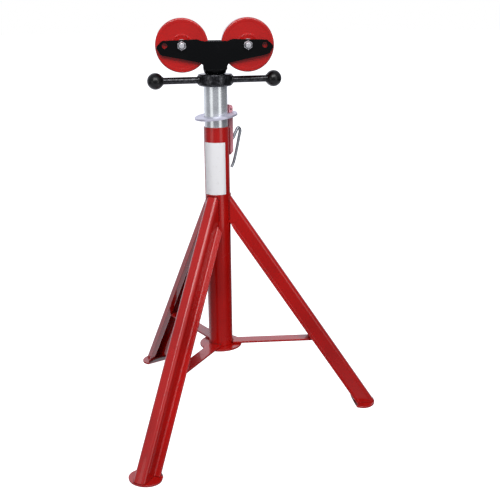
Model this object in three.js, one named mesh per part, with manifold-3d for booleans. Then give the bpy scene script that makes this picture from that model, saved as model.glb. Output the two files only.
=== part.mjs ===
// Pipe jack stand: a three-legged welded base, a mast that slides in its post and is held by a
// canted friction ring, a screw jack with a two-armed handle, and a swivelling two-roller head.
// Millimetres, +Z up. The floor is z = 0, one leg points along +X and the head lies along X.

import * as THREE from 'three';
import { mergeVertices } from 'three/addons/utils/BufferGeometryUtils.js';
import Module from 'manifold-3d';

const wasm = await Module();
wasm.setup();

const DEG = Math.PI / 180;
const TURN = 2 * Math.PI;

// Clearances and cutting allowances
const weld_gap = 0.3; // between welded or clamped pieces
const run_gap = 0.3; // between pieces that turn or slide on each other
const overrun = 6; // how far a cutter runs past what it cuts

// Facets round a full turn
const fine = 36;
const medium = 24;
const coarse = 16;
const thread_facets = 12;
const corner_steps = 3;

// Legs, feet and base
const leg_count = 3;
const toe_radius = 322; // mast axis to the nose's outer face, on its pad
const leg_lean = 33.27 * DEG; // from the vertical
const leg_nose = 25.4; // width of the channel's rounded outer side
const leg_depth = 31.75;
const leg_lip = 12; // each out-turned lip, outside the channel's wall
const leg_wall = 3;
const leg_nose_radius = 8;
const leg_bend_radius = 2.5;
const pad_length = 54; // along the leg's plane, before the pad is folded
const pad_width = 64;
const pad_overhang = 1; // beyond the toe
const pad_thickness = 4;
const flange_diameter = 85;
const flange_thickness = 4;
const flange_height = 145.5; // underside above the floor
const brace_width = 25.4;
const brace_thickness = 4;

// Post
const post_diameter = 48.3;
const post_wall = 1.65;
const post_above_legs = 132; // post's top above the point where the legs meet it
const slide_clearance = 0.275; // between the post's bore and the mast
const label_width = 45; // along the arc
const label_top_drop = 28; // below the post's top
const label_leg_gap = 4; // label's lower edge above the legs
const label_thickness = 0.5;
const label_azimuth = -104 * DEG;

// Locking bar, friction ring and hitch pin, all on one side of the post
const lock_azimuth = 26 * DEG;
const bar_depth = 8; // out from the post
const bar_width = 14;
const bar_length = 95;
const bar_above_notch = 12.7;
const bar_crown = 6; // rounding of the top's outer corner
const bar_eye_diameter = 4;
const bar_eye_drop = 9; // centre below the bar's top
const notch_depth = 2;
const notch_height = 7;
const ring_land = 9.5; // metal outside the slot
const ring_thickness = 4;
const ring_cant = 7 * DEG;
const ring_above_post = 19.6; // ring's centre above the post's top
const pin_diameter = 6;
const pin_hole_diameter = 7;
const pin_drop = 26.5; // pin's axis below the post's top
const pin_tip_clearance = 0.375; // tip held in the post's wall, just clear of the mast
const pin_reach = 19; // bow's centre line out from the bar
const pin_rise = 20.5; // bow's top above the pin's axis
const pin_tail = 55; // tail's end below the pin's axis
// Points of the bow as shares of its reach and rise, then of the tail as shares of reach and tail
const pin_bow_shares = [[0.2, 0.1], [0.45, 0.55], [0.8, 1], [1, 0.78], [0.88, 0.2]];
const pin_tail_shares = [[0.44, 0.55], [0.17, 0.85], [-0.06, 1]];

// Mast
const tube_wall = 3;
const tube_foot_room = 55.5; // free above the flange, below the tube's lower end
const tube_exposed = 75; // above the post's top, as it stands
const tube_hole_diameter = 8;
const tube_hole_pitch = 50.8;
const tube_hole_count = 6;
const tube_hole_first = 30; // first hole above the tube's lower end

// Screw jack
const screw_diameter = 28.6;
const thread_pitch = 6.35;
const thread_depth = 2;
const screw_length = 150;
const thread_runout = 8;
const thread_rows_per_pitch = 4;
const spigot_diameter = 20;
const spigot_length = 12;
const hub_diameter = 64.5;
const hub_height = 22.3;
const hub_chamfer = 2.5;
const hub_skirt = 12; // the part that reaches into the tube
const handle_rod_diameter = 12.7;
const handle_reach = 111.5; // mast axis to a ball's centre
const handle_azimuth = 8 * DEG;
const rod_seat = 10; // how deep a rod sits in the hub and in its ball
const ball_diameter = 30.5;

// Head
const cup_diameter = 44.45;
const cup_height = 18.5;
const cup_mouth_diameter = 35;
const cup_shoulder = 13; // height over which the cup's lower end rounds in
const plate_thickness = 5;
const saddle_half = 23;
const saddle_top = 7.5;
const ear_start = 32;
const ear_top = 11;
const ear_end = 4; // where the top edge turns down, beyond the spare hole
const ear_end_top = 9;
const ear_reach = 14.5; // the ear's flat end beyond the spare hole
const tip_height = 5; // height of that flat end
const tip_drop = 3; // that end's centre below the axles
const ear_corner = 7; // the lower corner beyond the spare hole
const ear_corner_drop = 16.5;
const belly = 1; // the lower edge's bend beyond the bolt
const belly_drop = 23.5;
const neck_shoulder_drop = 31;
const neck_inset = 0.4; // neck's sides inside the cup's
const neck_clearance = 9; // neck's lower end above the hub
const neck_flare = 4.5;
const spreader_width = 16;
const spreader_height = 12;
const spreader_drop = 4; // its centre below the axles

// Rollers and their fasteners
const roller_diameter = 97;
const roller_gap = 23; // between the two rollers
const roller_cup_clearance = 1.8; // between a roller and the cup's upper edge
const rim_inset = 1.4; // rim's face inside the raised ring's
const roller_edge = 3;
const roller_edge_share = 0.3; // how near the edge's middle point is to the corner
const roller_web_inset = 0.8; // web's face inside the rim's
const rim_land = 5;
const hub_ring_outer = 20.3; // radii of the raised ring round the axle
const hub_ring_inner = 16.5;
const hub_ring_slope = 1;
const spare_hole_offset = 31; // outboard of each roller's bolt
const sleeve_diameter = 14.5;
const washer_diameter = 22;
const washer_thickness = 1.5;
const bolt_diameter = 9.5;
const bolt_clearance = 0.5; // on the diameter
const hex_flats = 14.3;
const bolt_head_height = 6;
const nut_height = 8.3;
const bolt_point = 2.5; // thread left beyond the nut

// Worked out from the sizes above
const leg_spread = TURN / leg_count;
const pad_centre = toe_radius + pad_overhang - pad_length / 2;
const pad_front = pad_centre + pad_length / 2;
const pad_back = Math.hypot(pad_length * Math.cos(leg_spread), pad_width * Math.sin(leg_spread)) / 2
  - pad_centre * Math.cos(leg_spread);
const axis_x = (pad_back - pad_front) / 2; // puts the feet's bounding box on the origin
const post_radius = post_diameter / 2;
const tube_radius = post_radius - post_wall - slide_clearance;
const leg_meeting = pad_thickness + (toe_radius - post_radius) / Math.tan(leg_lean);
const post_top = leg_meeting + post_above_legs;
const flange_top = flange_height + flange_thickness;
const post_base = flange_top + weld_gap;
const tube_top = post_top + tube_exposed;
const tube_bottom = flange_top + tube_foot_room;
const hub_bottom = tube_top + run_gap;
const hub_top = hub_bottom + hub_height;
const hub_middle = (hub_bottom + hub_top) / 2;
const cup_bottom = hub_top + run_gap;
const cup_top = cup_bottom + cup_height;
const roller_radius = roller_diameter / 2;
const axle_x = roller_radius + roller_gap / 2;
const axle_height = cup_top + rise(roller_radius + roller_cup_clearance, axle_x - cup_diameter / 2);
const spare_x = axle_x + spare_hole_offset;
const plate_inner = cup_diameter / 2 + weld_gap; // the plates' inner faces from the middle
const plate_outer = plate_inner + plate_thickness;
const bar_inner = post_radius + weld_gap;
const bar_outer = bar_inner + bar_depth;
const ring_height = post_top + ring_above_post;
const notch_floor = bar_outer - notch_depth;
const notch_middle = ring_height + notch_floor * Math.tan(ring_cant);
const bar_top = notch_middle + notch_height / 2 + bar_above_notch;
const bar_bottom = bar_top - bar_length;
const pin_height = post_top - pin_drop;
const pin_tip_radius = tube_radius + pin_tip_clearance;

// The upright side of a right triangle from its long side and its level side
function rise(long, level) {
  return Math.sqrt(long * long - level * level);
}

// Radius a hole needs in the canted ring to clear a wall at the given radius
function canted(radius) {
  const half = ring_thickness / 2;
  return (radius + run_gap + half * Math.sin(ring_cant)) / Math.cos(ring_cant);
}

const finish = (color, metalness, roughness) =>
  new THREE.MeshStandardMaterial({ color, metalness, roughness, flatShading: true });
const red_paint = finish(0xb01c1c, 0.1, 0.3);
const black_paint = finish(0x17181a, 0.2, 0.45);
const cast_black = finish(0x1d1d20, 0.3, 0.6);
const zinc = finish(0xb9bec6, 0.85, 0.35);
const bright_steel = finish(0xcfcfd6, 0.9, 0.3);
const ring_steel = finish(0xc9c8d8, 0.6, 0.4);
const label_white = finish(0xf1f1f0, 0, 0.6);

// Closed, outward-facing geometry with shared vertices and no empty triangles
function tidy(geometry) {
  const bare = geometry.clone();
  for (const name of Object.keys(bare.attributes)) {
    if (name !== 'position') bare.deleteAttribute(name);
  }
  const merged = mergeVertices(bare, 1e-4);
  const corner = (i) => new THREE.Vector3().fromBufferAttribute(merged.attributes.position, i);
  const kept = [];
  let volume = 0;
  for (let i = 0; i < merged.index.count; i += 3) {
    const [a, b, c] = [0, 1, 2].map((k) => merged.index.getX(i + k));
    if (a === b || b === c || a === c) continue;
    kept.push([a, b, c]);
    volume += corner(a).dot(corner(b).cross(corner(c)));
  }
  const order = volume < 0 ? kept.map(([a, b, c]) => [a, c, b]) : kept;
  merged.setIndex(order.flat());
  return merged;
}

function solid(geometry) {
  const closed = tidy(geometry);
  return new wasm.Manifold(new wasm.Mesh({
    numProp: 3,
    vertProperties: new Float32Array(closed.attributes.position.array),
    triVerts: new Uint32Array(closed.index.array),
  }));
}

function geometryOf(manifold) {
  const result = manifold.getMesh();
  const geometry = new THREE.BufferGeometry();
  geometry.setAttribute('position', new THREE.BufferAttribute(result.vertProperties, 3));
  geometry.setIndex(new THREE.BufferAttribute(result.triVerts, 1));
  return tidy(geometry);
}

function cut(geometry, ...cutters) {
  return geometryOf(cutters.reduce((body, tool) => body.subtract(solid(tool)), solid(geometry)));
}

function join(...geometries) {
  return geometryOf(geometries.map(solid).reduce((a, b) => a.add(b)));
}

function mesh(name, geometry, material, parent) {
  const closed = tidy(geometry);
  closed.computeVertexNormals();
  const piece = new THREE.Mesh(closed, material);
  piece.name = name;
  parent.add(piece);
  return piece;
}

// A closed profile of [radius, height] points turned about Z
function revolve(points, segments = fine) {
  const profile = [...points, points[0]].map(([r, z]) => new THREE.Vector2(r, z));
  return tidy(new THREE.LatheGeometry(profile, segments).rotateX(Math.PI / 2));
}

// A cylinder along Z from one height to another
function cylinder(radius, low, high, segments = medium) {
  const shape = new THREE.CylinderGeometry(radius, radius, high - low, segments);
  return shape.rotateX(Math.PI / 2).translate(0, 0, (low + high) / 2);
}

// A cylinder along +X between two radii from the mast's axis, at a height
function radialCylinder(radius, inner, outer, height, segments = coarse) {
  return cylinder(radius, inner, outer, segments).rotateY(Math.PI / 2).translate(0, 0, height);
}

function tubeProfile(outer, inner, low, high) {
  return [[inner, low], [outer, low], [outer, high], [inner, high]];
}

function box(x, y, z) {
  const size = new THREE.Vector3(x[1] - x[0], y[1] - y[0], z[1] - z[0]);
  const block = new THREE.BoxGeometry(size.x, size.y, size.z);
  return block.translate((x[0] + x[1]) / 2, (y[0] + y[1]) / 2, (z[0] + z[1]) / 2);
}

function extrude(shape, depth, steps = corner_steps) {
  return new THREE.ExtrudeGeometry(shape, { depth, bevelEnabled: false, curveSegments: steps });
}

function circle(x, y, radius, segments = coarse) {
  return Array.from({ length: segments }, (_, k) => {
    const angle = TURN * k / segments;
    return new THREE.Vector2(x + radius * Math.cos(angle), y + radius * Math.sin(angle));
  });
}

function circleHole(x, y, radius) {
  return new THREE.Path(circle(x, y, radius));
}

function hexagon(flats) {
  const radius = flats / 2 / Math.cos(Math.PI / 6);
  const corners = [0, 1, 2, 3, 4, 5].map((k) => {
    const angle = (k + 0.5) * Math.PI / 3;
    return new THREE.Vector2(radius * Math.cos(angle), radius * Math.sin(angle));
  });
  return new THREE.Shape(corners);
}

// Pressed channel across the leg: x runs out through the nose, y across it. The lips turn out
// on the open side, which faces the post.
function channelShape() {
  const half = leg_nose / 2;
  const corner = half - leg_nose_radius;
  const lip_back = leg_wall - leg_depth;
  const bend_x = lip_back + leg_bend_radius;
  const bend_y = half + leg_bend_radius;
  const lip_end = half + leg_lip;
  const outer_bend = leg_bend_radius + leg_wall;
  const inner_nose = leg_nose_radius - leg_wall;
  const shape = new THREE.Shape();
  shape.moveTo(0, corner);
  shape.absarc(-leg_nose_radius, corner, leg_nose_radius, 0, Math.PI / 2, false);
  shape.absarc(bend_x, bend_y, leg_bend_radius, 1.5 * Math.PI, Math.PI, true);
  shape.lineTo(lip_back, lip_end);
  shape.lineTo(-leg_depth, lip_end);
  shape.absarc(bend_x, bend_y, outer_bend, Math.PI, 1.5 * Math.PI, false);
  shape.absarc(-leg_nose_radius, corner, inner_nose, Math.PI / 2, 0, true);
  shape.absarc(-leg_nose_radius, -corner, inner_nose, 0, -Math.PI / 2, true);
  shape.absarc(bend_x, -bend_y, outer_bend, Math.PI / 2, Math.PI, false);
  shape.lineTo(-leg_depth, -lip_end);
  shape.lineTo(lip_back, -lip_end);
  shape.absarc(bend_x, -bend_y, leg_bend_radius, Math.PI, Math.PI / 2, true);
  shape.absarc(-leg_nose_radius, -corner, leg_nose_radius, -Math.PI / 2, 0, false);
  shape.closePath();
  return shape;
}

// Distance from the toe, up the leg, at which its open side reaches the post
function lipLength() {
  const inner_toe = toe_radius - leg_depth * Math.cos(leg_lean);
  return (inner_toe - post_radius - weld_gap) / Math.sin(leg_lean);
}

// Takes the lips off above the post, slanting down across each lip
function lipCutter(side) {
  const wall = leg_nose / 2;
  const edge = wall + leg_lip + overrun;
  const start = lipLength();
  const high = start + leg_depth + post_diameter / Math.sin(leg_lean);
  const shape = new THREE.Shape([
    new THREE.Vector2(side * wall, start),
    new THREE.Vector2(side * edge, start - (edge - wall)),
    new THREE.Vector2(side * edge, high),
    new THREE.Vector2(side * wall, high),
  ]);
  const across = new THREE.Vector3(0, 1, 0);
  const along = new THREE.Vector3(0, 0, 1);
  const through = new THREE.Vector3(1, 0, 0);
  const turned = new THREE.Matrix4().makeBasis(across, along, through);
  const depth = leg_depth + 2 * overrun;
  return extrude(shape, depth).applyMatrix4(turned).translate(overrun - depth, 0, 0);
}

// A leg in the plane of +X, coped round the post and cut level on its foot
function legGeometry() {
  const length = lipLength() + leg_depth + post_diameter / Math.sin(leg_lean);
  const below = (leg_depth + overrun) * Math.tan(leg_lean);
  const bar = extrude(channelShape(), length + below).translate(0, 0, -below);
  const trimmed = cut(bar, lipCutter(1), lipCutter(-1));
  const standing = trimmed.rotateY(-leg_lean).translate(toe_radius, 0, pad_thickness);
  const reach = toe_radius + below;
  const side = leg_nose / 2 + leg_lip + overrun;
  const tall = pad_thickness + length + overrun;
  const floor = box([-reach, reach], [-side, side], [-reach, pad_thickness + weld_gap]);
  const beyond = box([-reach, 0], [-side, side], [-reach, tall]);
  const post = cylinder(post_radius + weld_gap, 0, tall, fine);
  return cut(standing, floor, beyond, post);
}

// Oval foot pad in the plane of +X. Its inner end is folded up against the leg's lips, with the
// fold's inside edge on the Y axis until the pad is set down.
function padGeometry() {
  const fold = toe_radius - (leg_depth + weld_gap) / Math.cos(leg_lean);
  const centre = pad_centre - fold;
  const [half_length, half_width] = [pad_length / 2, pad_width / 2];
  const turn = Math.acos(-centre / half_length);
  const upright = Math.PI / 2 - leg_lean;
  const mitre = pad_thickness * Math.tan(upright / 2);
  const arc = (from, to, steps) => Array.from({ length: steps + 1 }, (_, k) => {
    const angle = from + (to - from) * k / steps;
    return [centre + half_length * Math.cos(angle), half_width * Math.sin(angle)];
  });
  const across = new THREE.Vector3(0, 1, 0);
  const plates = [
    { outline: arc(-turn, turn, coarse), edge: -mitre, angle: 0 },
    { outline: arc(turn, TURN - turn, coarse / 2), edge: mitre, angle: upright },
  ];
  const corners = [];
  for (const { outline, edge, angle } of plates) {
    const last = outline.length - 1;
    const place = (x, y, z) => new THREE.Vector3(x, y, z).applyAxisAngle(across, angle);
    const top = outline.map(([x, y]) => place(x, y, 0));
    const bottom = outline.map(([x, y], k) => place(k % last ? x : edge, y, -pad_thickness));
    for (let k = 1; k < last; k += 1) {
      corners.push(top[0], top[k], top[k + 1], bottom[0], bottom[k + 1], bottom[k]);
    }
    for (let k = 0; k < last; k += 1) {
      corners.push(top[k], bottom[k], bottom[k + 1], top[k], bottom[k + 1], top[k + 1]);
    }
  }
  const plate = new THREE.BufferGeometry().setFromPoints(corners);
  return tidy(plate.translate(fold, 0, pad_thickness));
}

// A flat bar from the post to the leg's lips, its outer end cut to the leg's lean
function braceGeometry() {
  const low = flange_top + weld_gap;
  const high = low + brace_thickness;
  const half = brace_width / 2;
  const inner = post_radius + weld_gap;
  const reach = toe_radius - leg_depth / Math.cos(leg_lean) - weld_gap;
  const end = (z) => reach - (z - pad_thickness) * Math.tan(leg_lean);
  const shape = new THREE.Shape([
    new THREE.Vector2(inner, low),
    new THREE.Vector2(end(low), low),
    new THREE.Vector2(end(high), high),
    new THREE.Vector2(inner, high),
  ]);
  return extrude(shape, brace_width).rotateX(Math.PI / 2).translate(0, half, 0);
}

function postGeometry() {
  const profile = tubeProfile(post_radius, post_radius - post_wall, post_base, post_top);
  const hole = radialCylinder(pin_hole_diameter / 2, tube_radius / 2, bar_outer, pin_height);
  return cut(revolve(profile), hole.rotateZ(lock_azimuth));
}

function labelGeometry() {
  const inner = post_radius + weld_gap;
  const outer = inner + label_thickness;
  const half = label_width / inner / 2;
  const low = leg_meeting + label_leg_gap;
  const height = post_top - label_top_drop - low;
  const shape = new THREE.Shape();
  shape.absarc(0, 0, outer, -half, half, false);
  shape.absarc(0, 0, inner, half, -half, true);
  shape.closePath();
  return extrude(shape, height, coarse / 2).translate(0, 0, low);
}

// Flat bar on the post with a rounded top, an eye and the notch that the ring hooks into
function lockBarGeometry() {
  const notch_low = notch_middle - notch_height / 2;
  const notch_high = notch_middle + notch_height / 2;
  const shape = new THREE.Shape();
  shape.moveTo(bar_inner, bar_bottom);
  shape.lineTo(bar_outer, bar_bottom);
  shape.lineTo(bar_outer, notch_low);
  shape.lineTo(notch_floor, notch_low);
  shape.lineTo(notch_floor, notch_high);
  shape.lineTo(bar_outer, notch_high);
  shape.absarc(bar_outer - bar_crown, bar_top - bar_crown, bar_crown, 0, Math.PI / 2, false);
  shape.lineTo(bar_inner, bar_top);
  shape.closePath();
  const middle = (bar_inner + bar_outer) / 2;
  shape.holes.push(circleHole(middle, bar_top - bar_eye_drop, bar_eye_diameter / 2));
  const bar = extrude(shape, bar_width);
  const upright = bar.rotateX(Math.PI / 2).translate(0, bar_width / 2, 0);
  const hole = radialCylinder(pin_hole_diameter / 2, 0, bar_outer + overrun, pin_height);
  return cut(upright, hole);
}

// Flat ring with a slot on its +X side for the bar
function ringGeometry() {
  const hole = canted(tube_radius);
  const slot_end = canted(notch_floor);
  const slot_half = bar_width / 2 + run_gap;
  const corner = Math.asin(slot_half / hole);
  const shape = new THREE.Shape(circle(0, 0, slot_end + ring_land, fine));
  const opening = new THREE.Path();
  opening.moveTo(slot_end, slot_half);
  opening.lineTo(slot_end, -slot_half);
  opening.absarc(0, 0, hole, -corner, corner - TURN, true);
  opening.closePath();
  shape.holes.push(opening);
  return extrude(shape, ring_thickness, medium / 2).translate(0, 0, -ring_thickness / 2);
}

// The hitch pin's centre line: straight through the bar, up over the bow and down the tail
function pinPath() {
  const middle = (pin_tip_radius + bar_outer) / 2;
  const points = [
    ...[pin_tip_radius, middle, bar_outer].map((r) => [r, 0]),
    ...pin_bow_shares.map(([out, up]) => [bar_outer + out * pin_reach, up * pin_rise]),
    ...pin_tail_shares.map(([out, down]) => [bar_outer + out * pin_reach, -down * pin_tail]),
  ];
  const vectors = points.map(([r, z]) => new THREE.Vector3(r, 0, z));
  return new THREE.CatmullRomCurve3(vectors, false, 'centripetal');
}

function pinGeometry() {
  const section = new THREE.Shape(circle(0, 0, pin_diameter / 2, coarse / 2));
  const options = { steps: medium, bevelEnabled: false, extrudePath: pinPath() };
  return new THREE.ExtrudeGeometry(section, options);
}

function tubeGeometry() {
  const inner = tube_radius - tube_wall;
  const profile = tubeProfile(tube_radius, inner, tube_bottom, tube_top);
  const holes = Array.from({ length: tube_hole_count }, (_, k) => {
    const height = tube_bottom + tube_hole_first + k * tube_hole_pitch;
    const hole = radialCylinder(tube_hole_diameter / 2, inner / 2, post_radius, height);
    return hole.rotateZ(lock_azimuth);
  });
  return cut(revolve(profile), ...holes);
}

// Trapezoidal thread form: 0 at the root to 1 at the crest, over one pitch
function threadForm(phase) {
  const wrapped = phase - Math.floor(phase);
  const flank = 4 * Math.abs(wrapped - 0.5) - 0.5;
  return Math.min(1, Math.max(0, flank));
}

// The lifting screw: a helical thread, a plain run-out at each end and a spigot for the head
function screwGeometry() {
  const crest = screw_diameter / 2;
  const low = hub_top - screw_length;
  const rows = Math.round(screw_length / thread_pitch * thread_rows_per_pitch);
  const segments = thread_facets;
  const positions = [];
  const index = [];
  for (let i = 0; i <= rows; i += 1) {
    const z = low + screw_length * i / rows;
    const from_end = Math.min(z - low, hub_top - z);
    const depth = thread_depth * Math.min(1, from_end / thread_runout);
    for (let j = 0; j < segments; j += 1) {
      const angle = TURN * j / segments;
      const form = threadForm((z - low) / thread_pitch - j / segments);
      const radius = crest - depth * (1 - form);
      positions.push(radius * Math.cos(angle), radius * Math.sin(angle), z);
    }
  }
  const ring = (i, j) => i * segments + j % segments;
  for (let i = 0; i < rows; i += 1) {
    for (let j = 0; j < segments; j += 1) {
      index.push(ring(i, j), ring(i, j + 1), ring(i + 1, j + 1));
      index.push(ring(i, j), ring(i + 1, j + 1), ring(i + 1, j));
    }
  }
  const centre = positions.length / 3;
  positions.push(0, 0, low, 0, 0, hub_top);
  for (let j = 0; j < segments; j += 1) {
    index.push(centre, ring(0, j + 1), ring(0, j));
    index.push(centre + 1, ring(rows, j), ring(rows, j + 1));
  }
  const thread = new THREE.BufferGeometry();
  thread.setAttribute('position', new THREE.Float32BufferAttribute(positions, 3));
  thread.setIndex(index);
  const root = crest - thread_depth;
  const spigot = cylinder(spigot_diameter / 2, hub_top - root, cup_bottom + spigot_length, coarse);
  return join(thread, spigot);
}

// Cast hub: a thick nut with a skirt in the tube and a socket for each rod
function hubGeometry() {
  const outer = hub_diameter / 2;
  const bore = screw_diameter / 2 + run_gap;
  const skirt = tube_radius - tube_wall - run_gap;
  const profile = [
    [bore, hub_bottom - hub_skirt],
    [skirt, hub_bottom - hub_skirt],
    [skirt, hub_bottom],
    [outer - hub_chamfer, hub_bottom],
    [outer, hub_bottom + hub_chamfer],
    [outer, hub_top - hub_chamfer],
    [outer - hub_chamfer, hub_top],
    [bore, hub_top],
  ];
  const radius = handle_rod_diameter / 2 + weld_gap;
  const socket = radialCylinder(radius, outer - rod_seat, outer + overrun, hub_middle);
  const other = socket.clone().rotateZ(Math.PI);
  return cut(revolve(profile), socket, other);
}

function rodGeometry() {
  const inner = hub_diameter / 2 - rod_seat + weld_gap;
  const outer = handle_reach - ball_diameter / 2 + rod_seat - weld_gap;
  return radialCylinder(handle_rod_diameter / 2, inner, outer, hub_middle);
}

function ballGeometry() {
  const radius = ball_diameter / 2;
  const ball = new THREE.SphereGeometry(radius, coarse, coarse / 2 + 2).rotateZ(Math.PI / 2);
  const mouth = handle_reach - radius;
  const socket = handle_rod_diameter / 2 + weld_gap;
  const hole = radialCylinder(socket, mouth - overrun, mouth + rod_seat, hub_middle);
  return cut(ball.translate(handle_reach, 0, hub_middle), hole);
}

// Cup that turns on the screw's spigot, rounded in at its lower end
function cupGeometry() {
  const outer = cup_diameter / 2;
  const mouth = cup_mouth_diameter / 2;
  const bore = spigot_diameter / 2 + run_gap;
  const shoulder = Array.from({ length: corner_steps + 1 }, (_, k) => {
    const angle = Math.PI / 2 * k / corner_steps;
    const radius = mouth + (outer - mouth) * Math.sin(angle);
    return [radius, cup_bottom + cup_shoulder * (1 - Math.cos(angle))];
  });
  const roof = cup_bottom + spigot_length + run_gap;
  return revolve([
    [bore, cup_bottom],
    ...shoulder,
    [outer, cup_top],
    [0, cup_top],
    [0, roof],
    [bore, roof],
  ]);
}

// Yoke plate in the X-Z plane, its height measured from the roller axles
function yokeShape() {
  const tip_x = spare_x + ear_reach;
  const neck_half = cup_diameter / 2 - neck_inset;
  const neck_drop = axle_height - hub_top - neck_clearance;
  const half = [
    [saddle_half, saddle_top],
    [ear_start, ear_top],
    [spare_x + ear_end, ear_end_top],
    [tip_x, tip_height / 2 - tip_drop],
    [tip_x, -tip_height / 2 - tip_drop],
    [spare_x + ear_corner, -ear_corner_drop],
    [axle_x + belly, -belly_drop],
    [neck_half + neck_flare, -neck_shoulder_drop],
    [neck_half, -neck_shoulder_drop - neck_flare],
    [neck_half, -neck_drop],
  ];
  const mirrored = half.map(([x, z]) => [-x, z]).reverse();
  const outline = [...half, ...mirrored].map(([x, z]) => new THREE.Vector2(x, z));
  const shape = new THREE.Shape(outline);
  const hole = (bolt_diameter + bolt_clearance) / 2;
  for (const x of [-spare_x, -axle_x, axle_x, spare_x]) {
    shape.holes.push(circleHole(x, 0, hole));
  }
  return shape;
}

function yokeGeometry(inner_face) {
  const plate = extrude(yokeShape(), plate_thickness).rotateX(Math.PI / 2);
  return plate.translate(0, inner_face + plate_thickness, axle_height);
}

// Steel roller about its own axis: flat web, rim lands, a raised ring and a plain bore
function rollerGeometry() {
  const outer = roller_radius;
  const hub = plate_inner - washer_thickness - run_gap - weld_gap;
  const rim = hub - rim_inset;
  const web = rim - roller_web_inset;
  const bore = sleeve_diameter / 2 + run_gap;
  const land = outer - roller_edge - rim_land;
  const round = roller_edge * roller_edge_share;
  const half = [
    [bore, hub - hub_ring_slope],
    [hub_ring_inner, hub - hub_ring_slope],
    [hub_ring_inner + hub_ring_slope, hub],
    [hub_ring_outer - hub_ring_slope, hub],
    [hub_ring_outer, web],
    [land, web],
    [land + roller_web_inset, rim],
    [outer - roller_edge, rim],
    [outer - round, rim - round],
    [outer, rim - roller_edge],
  ];
  const back = half.map(([r, z]) => [r, -z]).reverse();
  return revolve([...half, ...back], fine).rotateX(Math.PI / 2);
}

function alongY(geometry, x) {
  return geometry.rotateX(Math.PI / 2).translate(x, 0, 0);
}

function boltGeometry() {
  const under_head = -plate_outer - weld_gap;
  const point = plate_outer + weld_gap + nut_height + bolt_point;
  const root = under_head - bolt_head_height / 2;
  const shank = cylinder(bolt_diameter / 2, root, point, coarse);
  const head = extrude(hexagon(hex_flats), bolt_head_height);
  return join(shank, head.translate(0, 0, under_head - bolt_head_height));
}

function nutGeometry() {
  const shape = hexagon(hex_flats);
  shape.holes.push(circleHole(0, 0, (bolt_diameter + bolt_clearance) / 2));
  return extrude(shape, nut_height).translate(0, 0, plate_outer + weld_gap);
}

function sleeveGeometry() {
  const half = plate_inner - weld_gap;
  const bore = (bolt_diameter + bolt_clearance) / 2;
  return revolve(tubeProfile(sleeve_diameter / 2, bore, -half, half), coarse);
}

function washerGeometry(side) {
  const outer_face = plate_inner - weld_gap;
  const low = side > 0 ? outer_face - washer_thickness : -outer_face;
  const bore = sleeve_diameter / 2 + run_gap;
  const profile = tubeProfile(washer_diameter / 2, bore, low, low + washer_thickness);
  return revolve(profile, coarse);
}

// Base
function buildBase(parent) {
  const azimuths = { right: 0, rear: leg_spread, front: 2 * leg_spread };
  for (const [place, azimuth] of Object.entries(azimuths)) {
    const arm = new THREE.Group();
    arm.rotation.z = azimuth;
    parent.add(arm);
    mesh(`leg_${place}`, legGeometry(), red_paint, arm);
    mesh(`foot_pad_${place}`, padGeometry(), red_paint, arm);
    mesh(`brace_${place}`, braceGeometry(), red_paint, arm);
  }
  const flange = cylinder(flange_diameter / 2, flange_height, flange_top, fine);
  mesh('base_flange', flange, red_paint, parent);
  mesh('outer_post', postGeometry(), red_paint, parent);
  mesh('post_label', labelGeometry().rotateZ(label_azimuth), label_white, parent);
}

// Locking bar, friction ring and hitch pin
function buildLock(parent) {
  const side = new THREE.Group();
  side.rotation.z = lock_azimuth;
  parent.add(side);
  mesh('lock_bar', lockBarGeometry(), red_paint, side);
  const ring = mesh('friction_ring', ringGeometry(), ring_steel, side);
  ring.position.z = ring_height;
  ring.rotation.y = -ring_cant;
  const pin = mesh('hitch_pin', pinGeometry(), zinc, side);
  pin.position.z = pin_height;
}

function buildJack(parent) {
  mesh('inner_tube', tubeGeometry(), zinc, parent);
  mesh('lift_screw', screwGeometry(), zinc, parent);
  const handle = new THREE.Group();
  handle.rotation.z = handle_azimuth;
  parent.add(handle);
  mesh('handle_hub', hubGeometry(), cast_black, handle);
  for (const [place, azimuth] of [['right', 0], ['left', Math.PI]]) {
    const arm = new THREE.Group();
    arm.rotation.z = azimuth;
    handle.add(arm);
    mesh(`handle_rod_${place}`, rodGeometry(), cast_black, arm);
    mesh(`handle_ball_${place}`, ballGeometry(), cast_black, arm);
  }
}

function buildHead(parent) {
  mesh('head_cup', cupGeometry(), black_paint, parent);
  mesh('yoke_plate_rear', yokeGeometry(plate_inner), black_paint, parent);
  mesh('yoke_plate_front', yokeGeometry(-plate_outer), black_paint, parent);
  const across = plate_inner - weld_gap;
  const half = spreader_height / 2;
  const spreader = box(
    [-spreader_width / 2, spreader_width / 2], [-across, across],
    [axle_height - spreader_drop - half, axle_height - spreader_drop + half],
  );
  mesh('yoke_spreader', spreader, black_paint, parent);
  const axles = new THREE.Group();
  axles.position.z = axle_height;
  parent.add(axles);
  for (const [place, side] of [['left', -1], ['right', 1]]) {
    const x = side * axle_x;
    mesh(`roller_${place}`, rollerGeometry().translate(x, 0, 0), red_paint, axles);
    mesh(`roller_sleeve_${place}`, alongY(sleeveGeometry(), x), bright_steel, axles);
    mesh(`roller_washer_${place}_front`, alongY(washerGeometry(1), x), zinc, axles);
    mesh(`roller_washer_${place}_rear`, alongY(washerGeometry(-1), x), zinc, axles);
    mesh(`roller_bolt_${place}`, alongY(boltGeometry(), x), bright_steel, axles);
    mesh(`roller_nut_${place}`, alongY(nutGeometry(), x), bright_steel, axles);
  }
}

const stand = new THREE.Group();
const mast = new THREE.Group();
mast.position.x = axis_x;
stand.add(mast);
buildBase(mast);
buildLock(mast);
buildJack(mast);
buildHead(mast);

export default stand;
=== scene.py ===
"""Pipe jack stand: the finished looks, modelled round the packed frame.

Each operator models one piece or one group of like pieces in the mast's own space, where
x and y start at the mast's axis and z at the floor, and then sets it down on the frame.
"""

import math

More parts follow.
